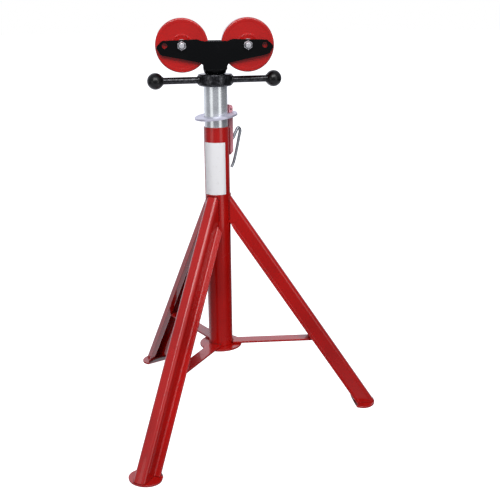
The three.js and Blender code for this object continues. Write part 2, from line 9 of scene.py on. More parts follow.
import bmesh
import bpy
from bpy.props import FloatProperty, FloatVectorProperty, IntProperty, PointerProperty
from bpy.types import Operator, Panel, PropertyGroup
from mathutils import Matrix, Vector


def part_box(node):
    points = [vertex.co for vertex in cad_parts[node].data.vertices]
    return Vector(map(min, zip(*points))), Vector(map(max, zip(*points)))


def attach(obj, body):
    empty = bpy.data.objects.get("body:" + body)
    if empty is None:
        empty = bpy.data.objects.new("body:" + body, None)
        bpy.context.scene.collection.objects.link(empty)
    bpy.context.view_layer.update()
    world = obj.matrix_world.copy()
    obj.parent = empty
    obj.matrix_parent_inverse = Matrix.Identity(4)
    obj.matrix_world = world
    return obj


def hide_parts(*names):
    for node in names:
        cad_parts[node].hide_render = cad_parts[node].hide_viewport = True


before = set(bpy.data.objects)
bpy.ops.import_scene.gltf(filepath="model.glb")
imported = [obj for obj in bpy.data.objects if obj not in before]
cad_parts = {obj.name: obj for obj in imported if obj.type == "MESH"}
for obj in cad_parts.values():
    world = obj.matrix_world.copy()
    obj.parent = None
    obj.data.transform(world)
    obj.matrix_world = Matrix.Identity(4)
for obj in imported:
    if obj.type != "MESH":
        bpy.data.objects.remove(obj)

bl_info = {
    "name": "Pipe Jack Stand",
    "version": (1, 0, 0),
    "blender": (4, 5, 0),
    "location": "3D View > Sidebar > Jack Stand",
    "description": "Models a three-legged pipe jack stand with a roller head",
    "category": "Object",
}

MM = 0.001
MICRON = 0.001 * MM
GAP = 0.3 * MM  # between neighbouring pieces
LOOSE = 0.25 * MM  # round a bolt in its hole
TINY = 0.02 * MM  # nearer than this is the same place
MELD = TINY / 4  # points nearer than this become one
ROUND = 96  # sides of a full turn
FINE = 128  # sides of the large round pieces
ROD = 48  # sides of a bolt or rod
QUARTER = math.pi / 2
X, Y, Z = range(3)
ORIGIN = (0, 0, 0)
PAD_SHEET = 4 * MM  # thickness of the foot pads
PIN_DROP = 26.5 * MM  # the pin's axis below the post's top


# Where the frame's nodes are

def middle(node):
    low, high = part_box(node)
    return (low + high) / 2


MAST_X = middle("outer_post").x


def span(node, axis):
    """Lowest and highest place of a node along an axis, from the mast's axis and the floor."""
    low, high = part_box(node)
    shift = MAST_X if axis == X else 0
    return low[axis] - shift, high[axis] - shift


def radius_of(node, axis=X):
    low, high = span(node, axis)
    return (high - low) / 2


POST = radius_of("outer_post")
MAST = radius_of("inner_tube")
POST_TOP = span("outer_post", Z)[1]
AXLE_X = middle("roller_right").x - MAST_X
AXLE_Z = middle("roller_right").z
PLATE_FACE = span("yoke_plate_rear", Y)  # inner and outer face of the rear plate

# Places that a copied piece goes to: its turn about the mast and its shift
LEGS = {"right": (0, ORIGIN), "rear": (math.tau / 3, ORIGIN), "front": (-math.tau / 3, ORIGIN)}
AXLES = {"left": (0, (-AXLE_X, 0, AXLE_Z)), "right": (0, (AXLE_X, 0, AXLE_Z))}
PLATES = {"rear": (0, ORIGIN), "front": (0, (0, -sum(PLATE_FACE), 0))}


# Sizes and colours that a user may change

def length(name, description, default):
    return FloatProperty(name=name, description=description, default=default * MM, min=0,
                         unit="LENGTH", subtype="DISTANCE", precision=5)


def angle(name, description, default):
    return FloatProperty(name=name, description=description, default=math.radians(default),
                         unit="ROTATION", subtype="ANGLE")


def share(name, description, default):
    return FloatProperty(name=name, description=description, default=default, min=0, max=1,
                         subtype="FACTOR")


def colour(name, description, shade):
    linear = [(c / 255 / 12.92) if c < 11 else ((c / 255 + 0.055) / 1.055) ** 2.4
              for c in shade]
    return FloatVectorProperty(name=name, description=description, default=linear, size=3,
                               min=0, max=1, subtype="COLOR")


class BaseSizes(PropertyGroup):
    """Legs, pads and braces"""
    toe: length("Toe radius", "From the mast's axis to the leg's nose on its pad", 322)
    lean: angle("Lean", "Leg from the vertical", 33.27)
    nose: length("Nose width", "Width of the channel's rounded outer side", 25.4)
    depth: length("Channel depth", "From the nose to the back of the lips", 31.75)
    lip: length("Lip", "Each out-turned lip beyond the channel's wall", 12)
    sheet: length("Leg sheet", "Thickness of the pressed sheet", 3)
    nose_round: length("Nose rounding", "Outside radius of the nose's corners", 8)
    lip_round: length("Lip rounding", "Inside radius where a lip turns out", 2.5)
    lip_edge: length("Lip edge", "Rounding of a lip's sheared edge", 0.7)
    pad_length: length("Pad length", "Along the leg's plane before folding", 54)
    pad_width: length("Pad width", "Across the leg", 63.7)
    pad_ahead: length("Pad ahead of toe", "How far the pad runs past the toe", 0.85)
    pad_fold: length("Pad fold", "Rounding of the fold", 1.1)
    pad_round: length("Pad edge rounding", "Rounding of the pad's sheared edge", 0.9)
    brace_round: length("Brace edge", "Rounding of the braces' long edges", 0.8)
    flange_round: length("Flange edge", "Rounding of the flange's rim", 0.9)
    bead: length("Weld bead", "Half the width of a weld bead on the base", 1.7)
    ripple: length("Weld ripple", "From one step of a weld bead to the next", 2.2)


class LockSizes(PropertyGroup):
    """Post, label, lock bar, friction ring and hitch pin"""
    post_wall: length("Post wall", "Wall of the outer post", 1.65)
    post_rim: length("Post rim", "Rounding of the post's cut ends", 0.35)
    label_width: length("Label width", "Along the post's face", 45)
    label_film: length("Label film", "Thickness of the label", 0.3)
    label_corner: length("Label corner", "Rounding of the label's corners", 2.2)
    label_side: angle("Label side", "Azimuth of the label's middle", -104)
    side: angle("Lock side", "Azimuth of the lock bar, ring slot and pin", 26)
    bar_depth: length("Bar depth", "Out from the post", 8)
    bar_width: length("Bar width", "Along the post's face", 14)
    bar_edge: length("Bar edge", "Rounding of the bar's upright edges", 0.9)
    crown: length("Bar crown", "Rounding of the bar's top corner", 6)
    heel: length("Bar heel", "Chamfer of the bar's lower corner", 6)
    eye: length("Bar eye", "Radius of the eye near the bar's top", 2)
    eye_drop: length("Eye drop", "From the bar's top to the eye's middle", 9)
    notch: length("Notch height", "Opening that the ring hooks into", 7)
    notch_depth: length("Notch depth", "How far the notch cuts in", 2)
    ring_land: length("Ring land", "Metal outside the ring's slot", 9.5)
    ring_sheet: length("Ring thickness", "Thickness of the friction ring", 4)
    ring_edge: length("Ring edge", "Rounding of the ring's edges", 0.7)
    cant: angle("Ring cant", "Tilt of the gripping ring", 7)
    pin: length("Pin radius", "Half the hitch pin's thickness", 3)
    pin_hole: length("Pin hole", "Radius of the pin's hole", 3.5)
    pin_end: length("Pin end", "Rounding of the pin's ends", 0.8)
    pin_clear: length("Pin clearance", "From the stored pin's tip to the mast", 0.375)
    pin_reach: length("Pin reach", "From the bar to the bow's outside", 19)
    pin_rise: length("Pin rise", "From the pin's axis up to the bow's top", 20.5)
    pin_hang: length("Pin hang", "From the pin's axis down to the tail's end", 55)
    pin_tail: share("Pin tail", "Thickness left at the tail's end", 0.92)


class JackSizes(PropertyGroup):
    """Mast, screw, hub and handle"""
    mast_wall: length("Mast wall", "Wall of the sliding mast", 3)
    mast_rim: length("Mast rim", "Rounding of the mast's cut ends", 0.5)
    hole: length("Mast hole", "Radius of the adjusting holes", 4)
    pitch: length("Hole pitch", "From one adjusting hole to the next", 50.8)
    first: length("First hole", "Above the mast's lower end", 30)
    holes: IntProperty(name="Holes", description="Adjusting holes", default=6, min=0)
    screw: length("Screw radius", "Crest of the lifting thread", 14.3)
    thread: length("Thread pitch", "Rise of the screw in one turn", 6.35)
    thread_depth: length("Thread depth", "From crest to root", 2)
    spigot: length("Spigot radius", "Pin on the screw that the head turns on", 10)
    turned: length("Turned end", "Rounding of the spigot's and the rods' ends", 0.8)
    hub_round: length("Hub rounding", "Cast rounding of the hub's upper edge", 2.5)
    hub_under: length("Hub underside", "Rounding of the hub's lower edge", 4.6)
    hub_lead: length("Hub lead", "Chamfer of the hub's bore", 1.2)
    side: angle("Handle side", "Azimuth of the right-hand rod", 8)
    reach: length("Handle reach", "From the mast's axis to a ball's centre", 111.5)
    seat: length("Rod seat", "How deep a rod sits in the hub and in its ball", 10)
    boss: length("Rod boss", "Radius of the cast boss where a rod enters", 8.6)
    boss_proud: length("Boss height", "How far a boss stands out of the hub", 1.2)
    collar: length("Ball collar", "Radius of the neck where a rod enters a ball", 8)
    collar_proud: length("Collar height", "How far the neck stands out of the ball", 1.3)


class HeadSizes(PropertyGroup):
    """Cup, yoke, rollers and fasteners"""
    cup_mouth: length("Cup mouth", "Radius of the cup's lower end", 17.5)
    cup_bore: length("Cup bore", "Radius of the hole for the spigot", 10.3)
    cup_roof: length("Cup roof", "Depth of the hole for the spigot", 12.3)
    cup_round: length("Cup rounding", "Height of the cup's rounded lower end", 13)
    plate_edge: length("Plate edge", "Rounding of the plates' edges", 0.6)
    crossbar_round: length("Crossbar edge", "Rounding of the bar between the plates", 2)
    spare: length("Spare hole", "From a roller's bolt to the spare hole", 31)
    bolt: length("Bolt radius", "Half the bolt's thickness", 4.75)
    flats: length("Hex flats", "Across the flats of nuts and bolt heads", 14.3)
    hub_bore: length("Roller bore", "Radius of the hole in rollers and washers", 7.55)
    tread_round: length("Roller edge", "Rounding of the roller's tread edges", 3)
    ring_in: length("Ring inside", "Inner radius of the raised ring on a roller", 16.5)
    ring_out: length("Ring outside", "Outer radius of the raised ring", 20.3)


class Finishes(PropertyGroup):
    """Colours of the finishes"""
    red: colour("Red paint", "Gloss paint on the base and rollers", (186, 14, 8))
    black: colour("Black paint", "Paint on the yoke and cup", (7, 8, 9))
    cast: colour("Cast black", "Hub, rods and balls", (11, 11, 13))
    zinc: colour("Zinc", "Plated mast, washers and screw", (231, 235, 236))
    wire: colour("Wire", "Hitch pin", (168, 173, 180))
    ring: colour("Ring plating", "Friction ring", (220, 219, 235))
    bright: colour("Bright plating", "Bolts and nuts", (238, 238, 242))
    label: colour("Label", "Bare label on the post", (254, 254, 255))
    floor: colour("Floor", "Studio floor and backdrop", (250, 250, 250))


# Tools of the bench

def only(piece):
    """Selects one piece and nothing else."""
    bpy.ops.object.select_all(action="DESELECT")
    piece.select_set(True)
    bpy.context.view_layer.objects.active = piece


def start(add, name, **settings):
    """Adds a primitive at its size and place, with its place in its mesh."""
    bpy.ops.object.select_all(action="DESELECT")
    add(**settings)
    bpy.ops.object.transform_apply(location=True, rotation=True, scale=True)
    piece = bpy.context.object
    piece.name = name
    return piece


def cylinder(name, radius, low, high, sides=ROUND, ends="NGON"):
    return start(bpy.ops.mesh.primitive_cylinder_add, name, vertices=sides, radius=radius,
                 depth=high - low, end_fill_type=ends, location=(0, 0, (low + high) / 2))


def drill(radius, inner, outer, height, side=0.0, sides=32):
    """A drill that points out from the mast's axis at a height and an azimuth."""
    reach = (inner + outer) / 2
    return start(bpy.ops.mesh.primitive_cylinder_add, "drill", vertices=sides, radius=radius,
                 depth=outer - inner, rotation=(0, QUARTER, side),
                 location=(reach * math.cos(side), reach * math.sin(side), height))


def across(name, radius, low, high, x=0.0, z=0.0, sides=32):
    """A cylinder along Y."""
    return start(bpy.ops.mesh.primitive_cylinder_add, name, vertices=sides, radius=radius,
                 depth=high - low, rotation=(QUARTER, 0, 0),
                 location=(x, (low + high) / 2, z))


def block(name, low, high):
    low, high = Vector(low), Vector(high)
    return start(bpy.ops.mesh.primitive_cube_add, name, size=1, location=(low + high) / 2,
                 scale=high - low)


class Work:
    """Edit mode on one piece, which starts with nothing selected."""

    def __init__(self, piece):
        self.piece = piece

    def __enter__(self):
        only(self.piece)
        bpy.ops.object.mode_set(mode="EDIT")
        bpy.ops.mesh.select_mode(type="VERT")
        bpy.ops.mesh.select_all(action="DESELECT")
        return self

    def __exit__(self, *problem):
        bpy.ops.object.mode_set(mode="OBJECT")

    def all(self):
        bpy.ops.mesh.select_all(action="SELECT")

    def pick(self, kind, test):
        """Selects what passes a test of its middle, and an edge's way or a face's normal."""
        bpy.ops.mesh.select_all(action="DESELECT")
        bpy.ops.mesh.select_mode(type=kind)
        mesh = bmesh.from_edit_mesh(self.piece.data)
        found = 0
        for part in {"VERT": mesh.verts, "EDGE": mesh.edges, "FACE": mesh.faces}[kind]:
            if kind == "VERT":
                at, way = part.co, part.normal
            elif kind == "EDGE":
                one, two = (corner.co for corner in part.verts)
                at, way = (one + two) / 2, (two - one).normalized()
            else:
                at, way = part.calc_center_median(), part.normal
            chosen = bool(test(at, way))
            part.select_set(chosen)
            found += chosen
        mesh.select_flush_mode()
        bmesh.update_edit_mesh(self.piece.data)
        if not found:
            raise RuntimeError(f"nothing to select on {self.piece.name}")

    def bevel(self, width, segments=3, affect="EDGES"):
        bpy.ops.mesh.bevel(offset=width, segments=segments, affect=affect, clamp_overlap=True)

    def soften(self, axis, width, segments, **planes):
        """Rounds the edges along an axis that lie in planes x, y or z, on either side of 0."""
        self.pick("EDGE", lambda at, way: abs(way[axis]) > 0.9 and all(
            abs(abs(getattr(at, key)) - abs(place)) < TINY for key, place in planes.items()))
        self.bevel(width, segments)

    def extrude(self, way):
        bpy.ops.mesh.extrude_region_move(TRANSFORM_OT_translate={"value": tuple(way)})

    def slice(self, place, normal, clear=None):
        """Cuts the piece with a plane, and takes off its outer or inner side."""
        self.all()
        bpy.ops.mesh.bisect(plane_co=place, plane_no=normal, use_fill=clear is not None,
                            clear_outer=clear == "outer", clear_inner=clear == "inner")

    def spin(self, turn, steps, axis=(0, 0, 1)):
        self.all()
        bpy.ops.mesh.spin(steps=steps, angle=turn, center=ORIGIN, axis=axis)

    def merge(self):
        self.all()
        bpy.ops.mesh.remove_doubles(threshold=MELD)

    def outward(self):
        self.all()
        bpy.ops.mesh.normals_make_consistent(inside=False)


def drawn(name, points, closed="FACE"):
    """Draws a line from point to point with one corner, and closes it by a face or an edge."""
    piece = start(bpy.ops.mesh.primitive_plane_add, name, size=MM, location=points[0])
    with Work(piece) as work:
        work.all()
        bpy.ops.mesh.merge(type="CENTER")
        for one, two in zip(points, points[1:]):
            work.extrude(Vector(two) - Vector(one))
        if closed == "FACE":
            work.all()
            bpy.ops.mesh.edge_face_add()
        elif closed == "EDGE":
            ends = [Vector(points[0]), Vector(points[-1])]
            work.pick("VERT", lambda at, way: min((at - end).length for end in ends) < TINY)
            bpy.ops.mesh.edge_face_add()
    return piece


def modify(piece, kind, **settings):
    """Gives a piece a modifier and applies it."""
    only(piece)
    modifier = piece.modifiers.new(kind.title(), kind)
    for name, value in settings.items():
        setattr(modifier, name, value)
    bpy.ops.object.modifier_apply(modifier=modifier.name)


def outward(piece):
    """Merges doubles and turns all faces outwards."""
    with Work(piece) as work:
        work.merge()
        work.outward()
    return piece


def lathe(name, profile, axis=Z, steps=ROUND):
    """Spins a closed profile of (radius, place) points about Z or Y."""
    piece = drawn(name, [(r, 0, h) if axis == Z else (r, h, 0) for r, h in profile], "EDGE")
    with Work(piece) as work:
        work.spin(math.tau, steps, (0, 0, 1) if axis == Z else (0, 1, 0))
    return outward(piece)


def thicken(piece, thickness, core):
    """Gives a bare sheet its thickness, towards a point that is inside it."""
    facing = sum(face.area * face.normal.dot(face.center - Vector(core))
                 for face in piece.data.polygons)
    modify(piece, "SOLIDIFY", thickness=thickness, offset=-1 if facing > 0 else 1,
           use_even_offset=True, use_quality_normals=True)
    outward(piece)


def tube(name, node, radius, wall, rim, inmost=0.0):
    """A tube whose cut ends are rounded, but not the edges nearer its axis than inmost."""
    low, high = span(node, Z)
    piece = cylinder(name, radius, low, high, FINE, "NOTHING")
    thicken(piece, wall, (0, 0, (low + high) / 2))
    with Work(piece) as work:
        work.pick("EDGE", lambda at, way: abs(way.z) < 0.1 and at.xy.length > inmost
                  and (at.z > high - TINY or at.z < low + TINY))
        work.bevel(rim, 2)
    return piece


def swept(name, points, radius, sides, swell, closed=None):
    """A round bar along a line, whose radius swell gives from a point's number and count."""
    piece = drawn(name, points, closed)
    only(piece)
    bpy.ops.object.convert(target="CURVE")
    line = piece.data
    line.bevel_depth, line.bevel_resolution = radius, sides
    line.use_fill_caps = True
    stops = line.splines[0].points
    if not closed and (stops[0].co.xyz - Vector(points[0])).length > TINY:
        raise RuntimeError(f"{name} was drawn from its far end")
    for k, stop in enumerate(stops):
        stop.radius = swell(k, len(stops))
    bpy.ops.object.convert(target="MESH")
    return outward(piece)


def bead(name, points, thickness, closed=None):
    """A weld bead along a joint, swelling and thinning as it was laid."""
    ripple, sides = 0.16, 3
    piece = swept(name, points, thickness, sides, lambda k, count: 1 + ripple * (
        0.7 * math.sin(k * 1.9) + 0.3 * math.sin(k * 4.7)), closed)
    only(piece)
    bpy.ops.object.shade_smooth()
    return piece


def cut(piece, *tools, way="DIFFERENCE"):
    """Takes tools away from a piece, or leaves what it shares with them."""
    for tool in tools:
        modify(piece, "BOOLEAN", operation=way, object=tool, solver="EXACT")
        bpy.data.objects.remove(tool)
    return piece


def ease(piece, width, segments=2, limit=40):
    """Rounds all sharp edges a little."""
    modify(piece, "BEVEL", width=width, segments=segments, limit_method="ANGLE",
           angle_limit=math.radians(limit), use_clamp_overlap=True)


def smooth(piece, limit=38):
    """Smooth shading that keeps real edges sharp and flat faces flat."""
    only(piece)
    bpy.ops.object.shade_smooth_by_angle(angle=math.radians(limit))
    modify(piece, "WEIGHTED_NORMAL", weight=80, keep_sharp=True)


def joined(name, *pieces):
    bpy.ops.object.select_all(action="DESELECT")
    for piece in pieces:
        piece.select_set(True)
    bpy.context.view_layer.objects.active = pieces[0]
    bpy.ops.object.join()
    pieces[0].name = name
    return pieces[0]


def placed(piece, turn, place):
    """Turns and moves a piece, and puts both into its mesh."""
    only(piece)
    piece.rotation_euler = turn
    piece.location = place
    bpy.ops.object.transform_apply(location=True, rotation=True, scale=True)


def set_down(piece, body, finish, nodes=(), side=0.0, shift=ORIGIN):
    """Turns a piece to its side of the mast, puts it on the frame and paints it."""
    placed(piece, (0, 0, side),
           Matrix.Rotation(side, 3, "Z") @ Vector(shift) + Vector((MAST_X, 0, 0)))
    piece.data.materials.clear()
    piece.data.materials.append(mixed(finish))
    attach(piece, body)
    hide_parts(*nodes)


def repeat(places, body, *patterns):
    """Sets down copies of (piece, name, finish, node) at each place; the patterns go."""
    for place, (side, shift) in places.items():
        for piece, name, finish, node in patterns:
            only(piece)
            bpy.ops.object.duplicate(linked=False)
            bpy.context.object.name = f"{name}_{place}"
            set_down(bpy.context.object, body.format(place), finish,
                     [node.format(place)] if node else (), side, shift)
    for piece, *_ in patterns:
        bpy.data.objects.remove(piece)


# Lines of points

def arc(x, y, radius, first, last, steps, tall=None):
    """Points of an arc about a point, or of an ellipse that is tall instead of round."""
    turns = (first + (last - first) * k / steps for k in range(steps + 1))
    return [(x + radius * math.cos(a), y + (tall or radius) * math.sin(a)) for a in turns]


def evenly(points, step):
    """Points about a step apart along a line of points."""
    points = [Vector(point) for point in points]
    result = [points[0]]
    for one, two in zip(points, points[1:]):
        parts = max(1, round((two - one).length / step))
        result += [one.lerp(two, k / parts) for k in range(1, parts + 1)]
    return result


def eased(corners, steps=6):
    """Corners (x, z, rounding in millimetres) as a line whose corners are eased off."""
    points = []
    for k, (x, z, rounding) in enumerate(corners):
        here = Vector((x, z))
        before = Vector(corners[k - 1][:2]) - here
        after = Vector(corners[(k + 1) % len(corners)][:2]) - here
        bend = math.pi - before.angle(after)
        cutback = min(rounding * MM * math.tan(bend / 2), 0.45 * before.length,
                      0.45 * after.length)
        one, two = here + before.normalized() * cutback, here + after.normalized() * cutback
        for t in (step / steps for step in range(steps + 1)):
            points.append((1 - t) ** 2 * one + 2 * t * (1 - t) * here + t ** 2 * two)
    return points


def bent(stops, steps=8):
    """Points of a smooth line through stops, with knots spaced by the root of distance."""
    stops = [Vector(stop) for stop in stops]
    line = [2 * stops[0] - stops[1], *stops, 2 * stops[-1] - stops[-2]]
    points = []
    for quad in zip(line, line[1:], line[2:], line[3:]):
        knots = [0.0]
        for one, two in zip(quad, quad[1:]):
            knots.append(knots[-1] + (two - one).length ** 0.5)
        for k in range(steps):
            t = knots[1] + (knots[2] - knots[1]) * k / steps
            level = quad
            for gap in (1, 2):
                level = [one.lerp(two, (t - knots[i]) / (knots[i + gap] - knots[i]))
                         for i, (one, two) in enumerate(zip(level, level[1:]))]
            points.append(level[0].lerp(level[1], k / steps))
    return points + [stops[-1]]


# Finishes

class Socket:
    """A node's output that takes part in plain arithmetic."""

    def __init__(self, shop, socket):
        self.shop = shop
        self.socket = socket

    def math(self, operation, *values):
        return self.shop.node("ShaderNodeMath", {"operation": operation}, values)

    def __add__(self, other): return self.math("ADD", self, other)
    def __radd__(self, other): return self.math("ADD", other, self)
    def __sub__(self, other): return self.math("SUBTRACT", self, other)
    def __rsub__(self, other): return self.math("SUBTRACT", other, self)
    def __mul__(self, other): return self.math("MULTIPLY", self, other)
    def __rmul__(self, other): return self.math("MULTIPLY", other, self)
    def __pow__(self, other): return self.math("POWER", self, other)

    def between(self, low, high):
        """0 below low, 1 above high, and a soft rise between."""
        return self.shop.node("ShaderNodeMapRange", {"interpolation_type": "SMOOTHSTEP"},
                              [self, low, high, 0.0, 1.0])


class Finish:
    """The nodes of one material or of the studio's air; each comes from node()."""

    def __init__(self, owner):
        self.owner = owner
        self.shades = bpy.context.scene.stand_finishes
        owner.use_nodes = True
        self.tree = owner.node_tree
        self.tree.nodes.clear()
        self.place = self.node("ShaderNodeTexCoord", {}, [], "Object")

    def node(self, kind, settings, values, output=0):
        """Adds a node, sets it, and links or fills its sockets by number or name."""
        made = self.tree.nodes.new(kind)
        for name, value in settings.items():
            setattr(made, name, value)
        pairs = values.items() if isinstance(values, dict) else enumerate(values)
        for key, value in pairs:
            if isinstance(value, Socket):
                self.tree.links.new(value.socket, made.inputs[key])
            else:
                made.inputs[key].default_value = value
        return None if output is None else Socket(self, made.outputs[output])

    def noise(self, scale, detail=2.0, rough=0.5, place=None):
        return self.node("ShaderNodeTexNoise", {}, {
            "Vector": place or self.place, "Scale": scale, "Detail": detail,
            "Roughness": rough})

    def streaks(self, scale, detail, rough=0.6, turn=ORIGIN):
        """Noise drawn out along an axis, by a scale for each."""
        return self.noise(1.0, detail, rough, self.node("ShaderNodeMapping", {}, {
            "Vector": self.place, "Scale": scale, "Rotation": turn}))

    def specks(self, scale):
        return self.node("ShaderNodeTexVoronoi", {"feature": "F1"}, {
            "Vector": self.place, "Scale": scale}, "Distance")

    def along(self, axis):
        return self.node("ShaderNodeSeparateXYZ", {}, [self.place], axis)

    def blend(self, mask, one, two):
        """One colour where the mask is 0, the other where it is 1."""
        one, two = (c if isinstance(c, Socket) else (*c, 1.0) for c in (one, two))
        return self.node("ShaderNodeMix", {"data_type": "RGBA"}, {0: mask, 6: one, 7: two}, 2)

    def surface(self, tint, roughness, height, depth, strength=0.5, **sockets):
        """Ends the material with its relief and shader; socket names have _ for a space."""
        relief = self.node("ShaderNodeBump", {}, {
            "Height": height, "Distance": depth, "Strength": strength}, "Normal")
        values = {key.replace("_", " "): value for key, value in sockets.items()}
        shader = self.node("ShaderNodeBsdfPrincipled", {}, {
            "Base Color": tint, "Roughness": roughness, "Normal": relief, **values})
        self.node("ShaderNodeOutputMaterial", {}, {"Surface": shader}, None)
        return self.owner


def tone(shade, factor):
    return tuple(min(1.0, c * factor) for c in shade)


FINISHES = {}


def shows(slot):
    """Notes a finish, with the record's slot that it shows."""
    def note(make):
        FINISHES[make.__name__] = make, slot
        return make
    return note


def mixed(name):
    """A finish is mixed once and used again from then on."""
    title = f"finished_{name}"
    return (bpy.data.materials.get(title)
            or FINISHES[name][0](Finish(bpy.data.materials.new(title))))


def enamel(mix, grime_and_shade=None):
    """Faint orange peel, slow shade drift, dust nibs and dull rubbed spots."""
    red = mix.shades.red
    drift = mix.noise(9, 3).between(0.35, 0.65)
    pooled = mix.noise(60, 4, 0.6).between(0.58, 0.75) * 0.35
    tint = mix.blend(pooled, mix.blend(drift, tone(red, 0.9), tone(red, 1.08)),
                     tone(red, 0.62))
    # Where a mask is given, it paints shade: a near-black red where shade falls
    if grime_and_shade:
        tint = mix.blend(grime_and_shade, tint, (0.035, 0.008, 0.008))
    peel = mix.noise(700, 1.5)
    nibs = 1 - mix.specks(260).between(0.0, 0.12)
    rubbed = mix.noise(34, 5, 0.65).between(0.55, 0.72)
    return mix.surface(tint, 0.24 + 0.06 * rubbed, peel + 0.3 * nibs, 6 * MICRON,
                       Specular_IOR_Level=0.3, Coat_Weight=0.6, Coat_Roughness=0.04)


@shows("red_paint")
def red_paint(mix):
    """Gloss enamel on the base and rollers."""
    return enamel(mix)


@shows("red_paint")
def red_paint_foot(mix):
    """Enamel on the pads, with painted shade, a near-black red, in the fold behind the leg."""
    away = ((mix.along(X) - MAST_X) ** 2 + mix.along(Y) ** 2) ** 0.5
    fold = fold_place(bpy.context.scene.stand_base)
    # Painted shade: darkens the pad's top in the fold behind the leg, where the leg's lips shade
    # it
    behind = 1 - away.between(fold - 1 * MM, fold + 3 * MM)
    above = mix.along(Z).between(PAD_SHEET, PAD_SHEET + 2 * MM)
    return enamel(mix, behind * above * (0.75 + 0.25 * mix.noise(160, 3, 0.6)))


@shows("red_paint")
def red_paint_rubbed_and_sheen(mix):
    """The enamel where the ring slides on the bar: scored along it, and chalky pale pink, which
    is partly worn paint and partly a painted sheen.
    """
    scores = mix.streaks((420, 420, 30), 4, 0.65)
    patches = mix.noise(80, 4, 0.6).between(0.3, 0.6)
    # Partly a painted sheen: the pale pink chalk stands in for the bar's glossy reflection as
    # well as for worn paint
    chalk_and_sheen = 0.42 + 0.3 * scores.between(0.35, 0.6) + 0.2 * patches
    return mix.surface(mix.blend(chalk_and_sheen, tone(mix.shades.red, 0.8), (0.66, 0.3, 0.35)),
                       0.3 + 0.2 * scores, scores, 30 * MICRON, Specular_IOR_Level=0.6)


@shows("red_paint")
def red_paint_weld(mix):
    """The same enamel pooled over the ripples of a weld bead."""
    red = mix.shades.red
    ripple = mix.noise(420, 2)
    spatter = 1 - mix.specks(300).between(0.0, 0.3)
    return mix.surface(mix.blend(ripple.between(0.3, 0.7), tone(red, 0.3), tone(red, 0.8)),
                       0.36 + 0.15 * ripple, ripple + 0.6 * spatter, 500 * MICRON, 0.7,
                       Specular_IOR_Level=0.2)


@shows("black_paint")
def black_paint(mix):
    """Black enamel over sheared plate, dull at its thin spots."""
    black = mix.shades.black
    thin = mix.noise(26, 4, 0.6).between(0.5, 0.75)
    dust = mix.noise(700, 2).between(0.68, 0.8) * 0.06
    tint = mix.blend(dust, mix.blend(thin, black, tone(black, 1.5)), (0.1, 0.1, 0.105))
    return mix.surface(tint, 0.2 + 0.12 * thin, mix.noise(620, 2), 30 * MICRON,
                       Specular_IOR_Level=0.14)


@shows("black_paint")
def black_paint_weld(mix):
    """Black enamel over a weld bead."""
    black = mix.shades.black
    ripple = mix.noise(380, 2)
    return mix.surface(mix.blend(ripple, tone(black, 0.8), tone(black, 2.2)),
                       0.4 + 0.15 * ripple, ripple, 500 * MICRON, 0.7)


@shows("cast_black")
def cast_black(mix):
    """Blackened casting: sand-cast grain with worn, oily high spots."""
    cast = mix.shades.cast
    grain = mix.noise(330, 5, 0.65)
    pits = 1 - mix.specks(420).between(0.0, 0.35)
    worn = (mix.noise(70, 5, 0.7) + 0.4 * grain).between(0.78, 0.95)
    tint = mix.blend(worn * 0.3, mix.blend(grain, tone(cast, 0.5), tone(cast, 1.2)),
                     (0.1, 0.1, 0.11))
    return mix.surface(tint, 0.26 - 0.08 * worn, grain - 0.35 * pits, 250 * MICRON,
                       Metallic=0.25 * worn, Specular_IOR_Level=0.34)


@shows("cast_black")
def worn_black(mix):
    """The same blacking rubbed thin over grey iron, where hands and the screw's oil polish it."""
    grain = mix.noise(300, 5, 0.7)
    pits = 1 - mix.specks(420).between(0.0, 0.4)
    bare = (mix.noise(240, 4, 0.7) + 0.5 * grain).between(0.68, 1.0)
    return mix.surface(mix.blend(bare, tone(mix.shades.cast, 2.9), (0.09, 0.09, 0.1)),
                       0.2 + 0.1 * grain, grain - 0.4 * pits, 300 * MICRON,
                       Metallic=0.85, Coat_Weight=0.36, Coat_Roughness=0.12)


@shows("zinc")
def zinc(mix):
    """Zinc plate on drawn tube: streaks along it, soft cloudy spangle, short scuffs."""
    plate = mix.shades.zinc
    streaks = mix.streaks((900, 900, 9), 4)
    cloud = mix.noise(42, 4, 0.55).between(0.3, 0.7)
    scuff = mix.streaks((1300, 1300, 90), 3).between(0.66, 0.74)
    tint = mix.blend(streaks * 0.4, mix.blend(cloud, tone(plate, 0.92), tone(plate, 1.08)),
                     tone(plate, 0.78))
    return mix.surface(tint, 0.2 + 0.04 * cloud + 0.1 * scuff, streaks + 0.4 * scuff,
                       8 * MICRON, Metallic=0.78)


@shows("zinc")
def drawn_wire(mix):
    """Grey drawn steel with lengthwise die marks and duller plating in the bends."""
    plate = mix.shades.wire
    dull = mix.noise(130, 3, 0.6).between(0.4, 0.65)
    return mix.surface(mix.blend(dull, plate, tone(plate, 0.6)), 0.22 + 0.16 * dull,
                       mix.streaks((1100, 1100, 60), 3), 20 * MICRON, Metallic=0.9)


@shows("ring_steel")
def ring_steel(mix):
    """Pale plated washer stock, with a dull handled surface."""
    plate = mix.shades.ring
    cloud = mix.noise(55, 4, 0.6).between(0.3, 0.7)
    lines = mix.streaks((240, 1500, 240), 3, turn=(0, 0, 0.6))
    rub = mix.noise(140, 3, 0.6).between(0.6, 0.72)
    tint = mix.blend(rub * 0.5, mix.blend(cloud, tone(plate, 0.86), plate), tone(plate, 0.6))
    return mix.surface(tint, 0.36 + 0.14 * cloud, lines, 50 * MICRON, Metallic=0.6)


